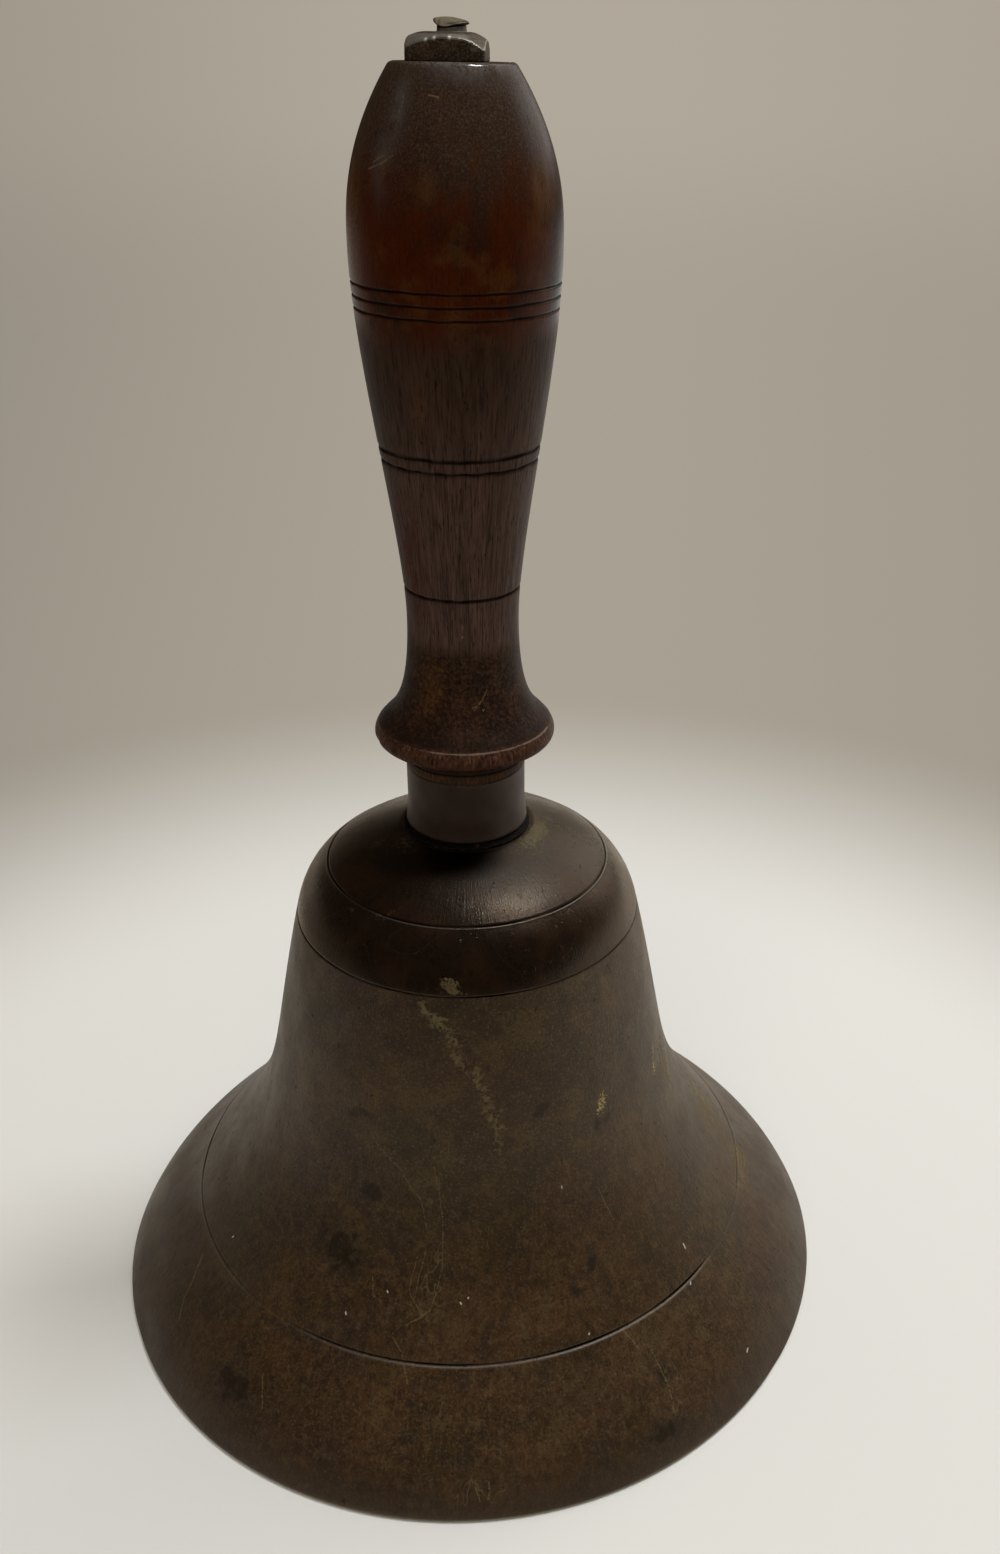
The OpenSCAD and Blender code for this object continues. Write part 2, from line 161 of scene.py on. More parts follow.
class FittingSizes(bpy.types.PropertyGroup):
    """Sizes of the iron fittings that the frame's boxes don't give"""
    nut_w: length("Nut width", "Width of the square nut on top, across its flats", 13.3)
    nut_offset: length("Nut offset", "How far the nut's hole is off its middle", 0.7)
    crown_nut_w: length("Crown nut width", "Width of the nut in the crown, across its flats", 13)
    corners: part_of("Nut corners", "Diameter over the corners as a share of the width", 1.4)
    flat_r: part_of("Nut flat", "Radius of the flat top as a share of the half width", 0.55)
    fall: length("Nut fall", "Drop of the domed top at the middle of each side", 0.75)
    dome: number("Nut dome", "Power with which the top falls towards the corners", 1.85)
    rod_d: length("Rod diameter", "Diameter of the iron rod", 6.4)
    rod_tip_d: length("Rod end", "Diameter of the rod's end above the nut", 5)
    rod_head_t: length("Rod head", "Thickness of the hammered head on the rod's end", 0.8)
    edge: length("Worn edge", "Rounding of the worn edges of the iron pieces", 0.25)
    fork_gap: length("Fork gap", "Gap between the cheeks of the fork", 6.5)
    cheek_t: length("Cheek thickness", "Thickness of each cheek of the fork", 3)
    cheek_w: length("Cheek width", "Width of the cheeks", 12)
    cheek_root: length("Cheek root", "How far the cheeks run up the boss", 1.5)
    boss_d: length("Boss diameter", "Diameter of the fork's boss", 13.6)
    boss_h: length("Boss height", "Height of the fork's boss", 7)
    boss_hole: length("Boss hole", "Depth of the hole for the rod in the boss", 5.4)
    pin_d: length("Pin diameter", "Diameter of the pivot pin", 4.8)
    split_d: length("Split pin", "Diameter of the split pin", 1.4)
    eye_d: length("Eye diameter", "Diameter of the clapper's eye", 11.6)
    stem_top_d: length("Stem top", "Diameter of the stem under the eye", 5.6)
    stem_low_d: length("Stem foot", "Diameter of the stem above the ball", 7)
    stem_core_d: length("Stem core", "Diameter of the stem through the ball", 5)
    steps: steps_round("each fitting", 112)


class Finish(bpy.types.PropertyGroup):
    """Colours of the worn surfaces"""
    bell_brown: colour("Bell brown", "Main colour of the patina", 0.0405, 0.0186, 0.0068)
    bell_olive: colour("Bell olive", "Greener patches of the patina", 0.0350, 0.0200, 0.0062)
    bell_russet: colour("Bell russet", "Golden-brown patches near the lip", 0.0600, 0.0250, 0.0052)
    bell_plum: colour("Bell plum", "Purple-grey patches of the patina", 0.0285, 0.0165, 0.0135)
    bell_pale: colour("Bell pale", "Paler flecks of the patina", 0.085, 0.058, 0.030)
    bell_crown: colour("Bell crown", "Darker patina of the crown and shoulder", 0.0165, 0.0083, 0.0042)
    bell_grey: colour("Bell grey", "Dusty grey of scratches and rubbed edges", 0.13, 0.115, 0.095)
    stain: colour("Stain", "Olive-yellow stains", 0.150, 0.112, 0.048)
    brass: colour("Brass", "Bare brass where the patina is worn through", 0.36, 0.28, 0.12)
    verdigris: colour("Verdigris", "Crust beside the ferrule", 0.120, 0.098, 0.042)
    # Painted shade: near black on the front of the crown beside the ferrule, for the shade and the dark
    # reflection of the handle there
    soot: colour("Soot", "Dirt on the crown beside the ferrule", 0.0012, 0.0009, 0.0006)
    line_dirt: colour("Line dirt", "Dirt in the turned lines of the bell", 0.0012, 0.0009, 0.0007)
    ferrule: colour("Ferrule", "Dark satin of the ferrule", 0.0285, 0.0145, 0.0113)
    wood_dark: colour("Wood dark", "Blackened wood", 0.0115, 0.0060, 0.0040)
    wood_red: colour("Wood red", "Polished red-brown wood", 0.044, 0.0075, 0.0010)
    wood_brown: colour("Wood brown", "Plain brown wood", 0.037, 0.0196, 0.0125)
    wood_grey: colour("Wood grey", "Wood with its polish worn away", 0.067, 0.0395, 0.0305)
    # Partly painted sheen: this grey stands in for the soft reflection of the room above on the top of the
    # handle, over its dusty polish
    wood_haze_and_sheen: colour("Wood haze", "Dusty polish at the top of the handle", 0.0305, 0.0175, 0.0105)
    wood_amber: colour("Wood amber", "Golden wood under thin polish", 0.098, 0.042, 0.012)
    leather: colour("Leather", "Blackened leather", 0.004, 0.003, 0.0025)
    iron: colour("Iron", "Dark iron", 0.0360, 0.0225, 0.0105)
    iron_worn: colour("Worn iron", "Iron rubbed bright", 0.27, 0.245, 0.205)
    fork: colour("Fork", "Dark iron of the fork", 0.045, 0.038, 0.032)
    clapper: colour("Clapper", "Dark iron of the clapper", 0.036, 0.030, 0.026)
    rod: colour("Rod", "Dull iron of the rod", 0.10, 0.085, 0.07)
    rod_worn: colour("Worn rod", "Rod rubbed bright", 0.30, 0.27, 0.24)
    rod_tan: colour("Rod tan", "Tan film on the hammered end of the rod", 0.108, 0.080, 0.043)
    rust: colour("Rust", "Brown rust", 0.10, 0.045, 0.018)
    pin: colour("Pin", "Darker steel of the pins", 0.10, 0.09, 0.08)
    steel: colour("Steel", "Dull steel of the pins", 0.22, 0.20, 0.18)


class Studio(bpy.types.PropertyGroup):
    """Camera, lamps and floor"""
    eye_x: length("Eye across", "How far the camera stands to the right of the bell", 22.8)
    eye_y: length("Eye back", "How far the camera stands in front of the bell", 265.1)
    eye_z: length("Eye height", "Height of the camera", 262.4)
    pitch: lean("Pitch", "How far the camera looks down", 27.349)
    roll: lean("Roll", "How far the camera is turned about its line of sight", 1.156)
    focal_px: pixels("Focal length", "Focal length in pixels of the picture", 1419.1)
    centre_px: pixels("Centre", "Column that the camera points at", 574.5)
    picture_w: pixels("Picture width", "Width of the picture", 1000)
    picture_h: pixels("Picture height", "Height of the picture", 1554)
    floor: colour("Floor", "Colour of the floor near the bell", 0.650, 0.632, 0.592)
    wall: colour("Wall", "Colour of the backdrop", 0.385, 0.345, 0.285)
    dim: colour("Dim side", "What the metal mirrors behind the camera", 0.032, 0.025, 0.018)
    room: number("Room light", "Strength of the light from all round", 0.10)
    overhead: watts("Overhead light", "Power of the wide soft light above", 18.5)
    front: watts("Front light", "Power of the wide soft light in front", 7)
    key: watts("Key lamp", "Power of the small lamp at the upper right", 6.0)
    window: watts("Window", "Power of the window at the right, behind", 5.2)
    fill: watts("Fill lamp", "Power of the lamp on the left", 0.75)
    under: watts("Under lamp", "Power of the lamp below the floor, for the hollow", 16)


def toward(angle):
    """Direction (cos, sin) of an angle."""
    return np.array([math.cos(angle), math.sin(angle)])


def cubic(a, lean_a, b, lean_b, pull, steps=28):
    """Cubic curve from a to b. Its inner control points lie along the leans at its ends, which are angles
    from upright, and pull gives their distance as shares of the straight line from a to b."""
    a, b = np.asarray(a, float), np.asarray(b, float)
    span = np.linalg.norm(b - a)
    t = np.linspace(0, 1, steps)[:, None]
    near_a = a + toward(lean_a)[::-1] * pull[0] * span
    near_b = b - toward(lean_b)[::-1] * pull[1] * span
    return (1 - t) ** 3 * a + 3 * (1 - t) ** 2 * t * near_a + 3 * (1 - t) * t ** 2 * near_b + t ** 3 * b


def arc(centre, radius, start, end, steps=8):
    """Points centre + radius * (cos, sin) between two angles in degrees."""
    angle = np.radians(np.linspace(start, end, steps + 1))[:, None]
    return np.asarray(centre, float) + radius * np.hstack([np.cos(angle), np.sin(angle)])


def outline(*parts):
    """Joins points and runs of points into one line, and drops repeated points."""
    line = np.vstack([np.atleast_2d(part) for part in parts])
    keep = np.ones(len(line), bool)
    keep[1:] = np.linalg.norm(np.diff(line, axis=0), axis=1) > 1e-7
    return line[keep]


def side(radius, foot, top, edge):
    """Line up the side of a round piece from its foot to its top, with both edges rounded."""
    return outline(arc((radius - edge, foot + edge), edge, -90, 0, 5),
                   arc((radius - edge, top - edge), edge, 0, 90, 5))


def travel(line):
    """Length run along a line of points, at each point."""
    return np.concatenate([[0.0], np.cumsum(np.linalg.norm(np.diff(line, axis=0), axis=1))])


def refine(line, step, fine_at=(), fine_step=MM, reach=MM):
    """Adds points to a line so that none is further than step from the next, with close points round the
    places in fine_at, which are lengths run along it. Returns the lengths run and the points."""
    run = travel(line)
    parts = [np.linspace(a, b, max(1, math.ceil((b - a) / step)) + 1) for a, b in zip(run[:-1], run[1:])]
    parts += [np.arange(place - reach, place + reach, fine_step) for place in fine_at]
    stations = np.unique(np.round(np.concatenate(parts), 6))
    stations = stations[(stations >= 0) & (stations <= run[-1])]
    return stations, np.stack([np.interp(stations, run, axis) for axis in line.T], 1)


def outward(line):
    """Unit normal on the right of a line of points, at each point."""
    along = np.gradient(line, axis=0)
    normal = np.stack([along[:, 1], -along[:, 0]], 1)
    return normal / np.maximum(np.linalg.norm(normal, axis=1), 1e-12)[:, None]


def run_at(line, point):
    """Length run along a line at its point nearest to a place."""
    return travel(line)[np.argmin(np.linalg.norm(line - np.asarray(point), axis=1))]


def turns(steps):
    """Angles of the columns round a piece, as one row."""
    return np.linspace(0, TURN, steps, endpoint=False)[None, :]


def spin(line, steps, bulge=0.0):
    """Surface of revolution about Z: the point at (radius, height) and angle a is
    (radius cos a, radius sin a, height), first moved along its normal by bulge[i, j]."""
    angle = turns(steps)
    normal = outward(line)
    radius = line[:, :1] + normal[:, :1] * bulge
    height = line[:, 1:] + normal[:, 1:] * bulge + 0 * angle
    return np.stack([radius * np.cos(angle), radius * np.sin(angle), height], -1)


def sines(angle, along, seed, most, pitch=0.0, count=24):
    """Sum of sines in two directions, with up to most whole turns round the axis so that it closes. It
    stays at about -1 to 1."""
    draw = np.random.default_rng(seed)
    total = 0.0
    for _ in range(count):
        total = total + np.sin(draw.integers(1, most + 1) * angle + draw.uniform(-1, 1) * pitch * along
                               + draw.uniform(0, TURN))
    return total / math.sqrt(count)


def hammered(run, steps, depth, seed, most, pitch):
    """Small dents in a forged piece: minus depth in mm times the size of a sum of sines."""
    return -depth * MM * np.abs(sines(turns(steps), run[:, None] / MM, seed, most, pitch))


def near(value, place, width):
    """Soft bump round a place: exp of minus the square of the distance in widths."""
    return np.exp(-((value - place) / width) ** 2)


def smooth(value, start, end):
    """Smooth step from 0 at start to 1 at end."""
    t = np.clip((value - start) / (end - start), 0, 1)
    return t * t * (3 - 2 * t)


def unit(value):
    return np.clip(value, 0, 1)


def azimuth(angle):
    """Angle round from the front, which is -Y, in degrees, positive towards the right."""
    return (np.degrees(angle) + 270) % 360 - 180


def blot(across, along, spots):
    """Sum of soft round spots, at most 1. Each is (azimuth in degrees, height, half width, half height), and
    across and along give each point's azimuth and its height in mm."""
    return unit(sum(near((across - place + 180) % 360, 180, half_width) * near(along, height, half_height)
                    for place, height, half_width, half_height in spots))


def dented(across, along, dents):
    """Depth of soft round dents. Each is a spot and its depth in mm."""
    return sum(depth * MM * blot(across, along, [spot]) for *spot, depth in dents)


def grid(name, points, marks, closed=True, topped=True):
    """Mesh of points[i, j], where i runs along the profile and j round it. The profile closes on itself, or
    else it starts in a single point, and ends in one where topped is set. marks are values at the points."""
    rows, steps = points.shape[:2]
    first, last = (0, rows) if closed else (1, rows - topped)

    def listed(values):
        full = values[first:last].reshape(-1, values.shape[-1])
        return np.vstack([values[:first, 0], full, values[last:, 0]])

    j = np.arange(steps)
    after = (j + 1) % steps
    i = np.arange(last - first - (not closed))[:, None]
    above = (i + 1) % rows
    quads = first + np.stack(np.broadcast_arrays(i * steps + j, i * steps + after, above * steps + after,
                                                 above * steps + j), -1)
    faces = quads.reshape(-1, 4).tolist()
    tip = 1 + (last - first) * steps
    if first:
        faces += np.stack([0 * j, 1 + after, 1 + j], -1).tolist()
    if last < rows:
        faces += np.stack([0 * j + tip, tip - steps + j, tip - steps + after], -1).tolist()
    mesh = bpy.data.meshes.new(name)
    mesh.from_pydata(listed(points).tolist(), [], faces, shade_flat=False)
    for key, mark in marks.items():
        values = listed(np.broadcast_to(mark, (rows, steps))[..., None]).ravel().astype(np.float32)
        mesh.attributes.new(key, "FLOAT", "POINT").data.foreach_set("value", values)
    return mesh


def build(name, points, slot, body, *nodes, marks=None, closed=True):
    """Makes a piece from a grid of points, with the material of its slot."""
    mesh = grid(name, points, marks or {}, closed)
    mesh.materials.append(material(slot))
    piece = bpy.data.objects.new(name, mesh)
    bpy.context.scene.collection.objects.link(piece)
    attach(piece, body)
    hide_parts(*nodes)


class Value:
    """A number in a shader. Python's operators on it add Math nodes."""

    def __init__(self, nodes, socket):
        self.nodes, self.socket = nodes, socket

    def math(self, operation, *others):
        return self.nodes.math(operation, self, *others)

    def __add__(self, other):
        return self.math("ADD", other)

    def __sub__(self, other):
        return self.math("SUBTRACT", other)

    def __mul__(self, other):
        return self.math("MULTIPLY", other)

    def __truediv__(self, other):
        return self.math("DIVIDE", other)

    def __rsub__(self, other):
        return self.nodes.math("SUBTRACT", other, self)

    def __rtruediv__(self, other):
        return self.nodes.math("DIVIDE", other, self)

    def __abs__(self):
        return self.math("ABSOLUTE")

    __radd__, __rmul__ = __add__, __mul__

    def most(self, other):
        return self.math("MAXIMUM", other)

    def least(self, other):
        return self.math("MINIMUM", other)

    def smooth(self, start, end, low_value=0.0, high_value=1.0):
        """Smooth step from low_value at start to high_value at end."""
        if end < start:
            start, end, low_value, high_value = end, start, high_value, low_value
        return self.nodes.node("ShaderNodeMapRange", {"interpolation_type": "SMOOTHSTEP"},
                               {0: self, 1: start, 2: end, 3: low_value, 4: high_value})


class Nodes:
    """The nodes of a material or of the room, made anew."""

    def __init__(self, owner):
        owner.use_nodes = True
        self.owner, self.tree = owner, owner.node_tree
        self.tree.nodes.clear()

    def node(self, kind, settings=None, inputs=None, output=0):
        """Adds a node of a type, with its settings, then the values or links of its sockets."""
        made = self.tree.nodes.new(kind)
        for key, setting in (settings or {}).items():
            setattr(made, key, setting)
        for key, value in (inputs or {}).items():
            if isinstance(value, Value):
                self.tree.links.new(value.socket, made.inputs[key])
            else:
                made.inputs[key].default_value = value
        return Value(self, made.outputs[output]) if made.outputs else made

    def math(self, operation, *values):
        return self.node("ShaderNodeMath", {"operation": operation}, dict(enumerate(values)))

    def mix(self, factor, a, b):
        """Colour a where factor is 0, b where it is 1."""
        a, b = (part if isinstance(part, Value) else (*part, 1.0) for part in (a, b))
        return self.node("ShaderNodeMix", {"data_type": "RGBA"}, {0: factor, 6: a, 7: b}, 2)

    def over(self, base, *layers):
        """A colour with others laid over it in turn, each through its own mask."""
        for mask, tone in layers:
            base = self.mix(mask, base, tone)
        return base


class Paint(Nodes):
    """A material that is being worked out with nodes. x, y and z are places in mm."""

    def __init__(self, name):
        super().__init__(bpy.data.materials.new(name + "_finish"))
        self.place = self.node("ShaderNodeTexCoord", output="Object")
        self.x, self.y, self.z = (self.node("ShaderNodeSeparateXYZ", inputs={0: self.place}, output=axis) / MM
                                  for axis in "XYZ")
        self.radius = (self.x * self.x + self.y * self.y).math("SQRT")

    def point(self, *axes):
        return self.node("ShaderNodeCombineXYZ", inputs=dict(enumerate(axes)))

    def around(self, radius):
        """Coordinates in mm on a cylinder of one radius, so that noise in them runs along the profile."""
        share = radius / self.radius
        return self.point(self.x * share, self.y * share, self.z)

    def mark(self, name):
        """The piece's own attribute of that name, or 0 where it has none."""
        return self.node("ShaderNodeAttribute", {"attribute_name": name}, output="Fac")

    def noise(self, size, stretch=(1, 1, 1), detail=3.0, rough=0.55, shift=0.0, vector=None):
        """Noise whose features are about size mm across, stretched by three factors."""
        scale = tuple(1 / (size * factor * (MM if vector is None else 1)) for factor in stretch)
        moved = self.node("ShaderNodeMapping", inputs={
            "Vector": vector or self.place, "Scale": scale, "Location": (shift, shift * 0.7, shift * 1.3)})
        return self.node("ShaderNodeTexNoise", inputs={
            "Vector": moved, "Scale": 1.0, "Detail": detail, "Roughness": rough})

    def rings(self, size):
        """Noise in rings, as a lathe leaves them."""
        return self.noise(size, detail=2, vector=self.point(self.radius, self.z))

    def ragged(self, name, size, strength, middle, soft, stretch=(1, 1, 1)):
        """A soft mark broken up by noise into a lacy patch."""
        mark = self.mark(name)
        rough = self.noise(size, stretch, detail=5, rough=0.62) - 0.5
        return (mark + rough * strength).smooth(middle - soft, middle + soft) * mark.smooth(0.0, 0.12)

    def strokes(self, lines, radius, width, wander):
        """Thin drawn lines, 1 on a line and 0 away from it. Each line is the azimuth in degrees and the
        height in mm of its points, on a cylinder of one radius. Noise bends them by up to wander mm."""
        across = self.x.math("ARCTAN2", 0 - self.y) * radius
        across = across + (self.noise(6, detail=2, shift=31) - 0.5) * wander
        along = self.z + (self.noise(6, detail=2, shift=43) - 0.5) * wander
        nearest = None
        for line in lines:
            ends = [(math.radians(place) * radius, z) for place, z in zip(line[::2], line[1::2])]
            for (a, z_a), (b, z_b) in zip(ends, ends[1:]):
                run, rise = b - a, z_b - z_a
                span = run * run + rise * rise
                share = across * (run / span) + along * (rise / span) - (a * run + z_a * rise) / span
                share = share.most(0).least(1)
                off, up = across - a - share * run, along - z_a - share * rise
                away = off * off + up * up
                nearest = away if nearest is None else nearest.least(away)
        return nearest.math("SQRT").smooth(width, width * 0.35)

    def bump(self, height, distance, *normal):
        """Bump whose full height is distance in mm."""
        inputs = {"Height": height, "Distance": distance * MM, "Strength": 1.0}
        inputs.update(zip(("Normal",), normal))
        return self.node("ShaderNodeBump", inputs=inputs)

    def finish(self, base, roughness, metallic, normal, specular=0.5, tint=(1.0, 0.88, 0.72), coat=0.0):
        surface = self.node("ShaderNodeBsdfPrincipled", inputs={
            "Base Color": base, "Roughness": roughness, "Metallic": metallic, "Normal": normal,
            "Specular IOR Level": specular, "Specular Tint": (*tint, 1.0), "Coat Weight": coat,
            "Coat Roughness": 0.12})
        self.node("ShaderNodeOutputMaterial", inputs={"Surface": surface})


def bell_metal(paint, finish):
    """Brown patina in patches, darker on the crown, with stains, pits, scratches and worn-through brass, and
    with painted shade on the left and in front of the ferrule and painted sheen on the right.
    """
    x, z, noise, mark, ragged = paint.x, paint.z, paint.noise, paint.mark, paint.ragged
    shoulder_z = 94.98
    dark_patch, tan_patch, tan_fleck = (0.015, 0.0095, 0.006), (0.08, 0.05, 0.0165), (0.09, 0.048, 0.017)
    dark_lip, red_crown, black_fleck = (0.017, 0.008, 0.0036), (0.03, 0.013, 0.0052), (0.004, 0.0025, 0.0018)
    blackened, dust, worn_foot = (0.0115, 0.0098, 0.0078), (0.50, 0.46, 0.38), (0.165, 0.145, 0.075)
    chipped, cast, cast_dark = (0.10, 0.060, 0.034), (0.075, 0.048, 0.024), (0.036, 0.023, 0.013)
    blotch = noise(10, detail=4, rough=0.6, shift=3.1)
    mottle = noise(2.2, detail=4, rough=0.65, shift=7.7)
    grain = noise(0.5, detail=4, rough=0.7, shift=1.9)
    hatch = noise(0.5, (1, 1, 6), 2, 0.6, 15, paint.around(55))
    patch = noise(9, detail=5, rough=0.68, shift=61)
    fleck = noise(1.3, (1, 1, 1.8), 5, 0.7, 23)
    cloudy = blotch * 0.6 + mottle * 0.4
    plum = noise(24, shift=17) * 0.6 + blotch * 0.4
    golden = blotch * 0.55 + noise(20, detail=2, shift=27) * 0.45
    lines = hatch.smooth(0.52, 0.74) * mottle.smooth(0.62, 0.42)
    flare = z.smooth(66, 34)
    sheen = z.smooth(20, 34) * z.smooth(62, 44) * x.smooth(22, 52)
    crown = z.smooth(shoulder_z - 0.1, shoulder_z + 0.1)
    pits = noise(1.1, (1, 1, 1.6), 2, shift=5.2).smooth(0.65, 0.70) * mottle.smooth(0.46, 0.58)
    gloom = ragged("gloom", 1.8, 2.2, 0.62, 0.34)
    crust = ragged("crust", 1.0, 4.2, 0.66, 0.16) * mottle.smooth(0.36, 0.54)
    green = ragged("green", 0.7, 3.6, 0.60, 0.16) * grain.smooth(0.40, 0.56, 0.2, 1.0)
    bare, struck = ragged("bare", 0.45, 4.2, 0.95, 0.10), ragged("struck", 2.0, 1.4, 0.5, 0.15)
    drawn = paint.strokes(BELL_SCRATCHES, 60, 0.17, 1.6) * grain.smooth(0.36, 0.56)
    hair = abs(noise(5.5, (1, 1, 5), 2, shift=9) - 0.5).smooth(0.010, 0.0) * mark("scratch")
    stray = abs(noise(30, (1, 0.5, 1), 1, shift=21) - 0.47).smooth(0.0022, 0.0) * grain.smooth(0.4, 0.6)
    scratch = (drawn * 0.62).most(hair * 0.45).most(stray * 0.22)
    soot, groove, inside = mark("soot"), mark("groove"), mark("inside")
    # The pale burr along the lines: real rubbed metal, and partly a painted highlight
    burr = mark("burr") * grain.smooth(0.28, 0.42)
    base = paint.over(
        finish.bell_brown,
        (noise(30).smooth(0.40, 0.62), finish.bell_olive),
        (plum.smooth(0.46, 0.62) * 0.75, finish.bell_plum),
        (z.smooth(66, 12) * golden.smooth(0.42, 0.60) * 0.8, finish.bell_russet),
        (mark("warm") * cloudy.smooth(0.36, 0.58) * 0.7, finish.bell_russet),
        (mottle.smooth(0.50, 0.70) * 0.62, finish.bell_crown),
        (mottle.smooth(0.46, 0.28) * 0.34, finish.bell_pale),
        (patch.smooth(0.52, 0.62) * 0.50, dark_patch),
        (patch.smooth(0.47, 0.38) * 0.40, tan_patch),
        (lines * z.smooth(45, 20, 0.25, 0.55), finish.bell_pale),
        (grain.smooth(0.47, 0.36) * 0.95, finish.bell_crown),
        (grain.smooth(0.54, 0.65) * 0.80, finish.bell_pale),
        (fleck.smooth(0.53, 0.66) * (flare * 0.45 + 0.12), tan_fleck),
        (fleck.smooth(0.47, 0.34) * (flare * 0.40 + 0.30), finish.bell_crown),
        # Painted shade: the left side, x below -30 mm, darkened with the crown colour
        (x.smooth(-30, -76) * 0.58, finish.bell_crown),
        (z.smooth(12, 1) * 0.60, dark_lip),
        # Painted sheen: plum grey on the right side past x 50 mm, and olive on the right of the waist, for
        # the sheen of the lamps on the right
        (x.smooth(50, 80) * cloudy.smooth(0.34, 0.58) * 0.55, finish.bell_plum),
        (sheen * mottle.smooth(0.36, 0.56) * 0.45, finish.bell_olive))
    deep = paint.over(
        finish.bell_crown,
        (blotch.smooth(0.42, 0.62) * 0.8, red_crown),
        (grain.smooth(0.50, 0.72) * 0.45, finish.bell_plum),
        (fleck.smooth(0.47, 0.36) * 0.5, black_fleck))
    base = paint.over(
        base,
        (crown, deep),
        (gloom * 0.62, blackened),
        (pits * 0.85, finish.bell_crown),
        (crust * grain.smooth(0.30, 0.55, 0.35, 0.85), finish.stain),
        (green * 0.85, finish.verdigris),
        (bare * 0.85, finish.brass),
        (scratch, finish.stain),
        (paint.strokes(BELL_SPECKS, 60, 0.20, 0.0), dust),
        (z.smooth(1.05, 0.55) * grain.smooth(0.30, 0.50) * 0.7, worn_foot),
        # Painted shade: the front of the crown beside the ferrule goes near black
        (soot * 0.94, finish.soot),
        (groove, finish.line_dirt),
        # Pale burr, brighter at the front and right as a painted highlight
        (burr * 0.95, finish.bell_grey),
        (ragged("chip", 0.6, 4.0, 1.0, 0.10) * 0.45, chipped),
        (inside * 0.9, paint.mix(blotch.smooth(0.35, 0.65), cast, cast_dark)),
        (struck, finish.brass))
    dull = (crust + green + groove + soot).least(1.0)
    shiny = (bare + struck).least(1.0)
    rough = blotch.smooth(0.3, 0.7, 0.41, 0.53) - crown * 0.15 - shiny * 0.12
    rough = (rough + dull * 0.25 + inside * 0.12 + pits * 0.2 + (grain - 0.5) * 0.12).least(0.9)
    height = hatch * 0.6 + grain * 0.5 + mottle * 0.6 - pits * 0.8 + crust * 0.8 - scratch * 0.4
    normal = paint.bump(height * crown.smooth(0, 1, 1.0, 0.75), 0.10, paint.bump(paint.rings(0.5), 0.010))
    # Full metallic on the painted shade, the lines and the dark spots, so that they mirror little
    metal = (shiny * 0.55 + crown * 0.25 + 0.30 - burr * 0.6).most(soot).most(groove).most(gloom * 0.50)
    paint.finish(base, rough, metal, normal, 0.68, (1.0, 0.86, 0.67))


def ferrule_metal(paint, finish):
    """Smooth dark satin with faint turning rings and rubbed patches."""
    blotch = paint.noise(6, detail=4, shift=2)
    grain = paint.noise(0.5, shift=4)
    base = paint.over(
        finish.ferrule,
        (blotch.smooth(0.4, 0.7) * 0.5, finish.bell_crown),
        (grain.smooth(0.5, 0.75) * 0.25, finish.bell_plum),
        (paint.mark("edge") * grain.smooth(0.3, 0.6) * 0.35, finish.bell_grey))
    normal = paint.bump(grain * 0.4 + paint.rings(0.45) * 0.6, 0.02)
    paint.finish(base, blotch.smooth(0.3, 0.7, 0.40, 0.50), 0.30, normal, 0.4, (1.0, 0.88, 0.78))


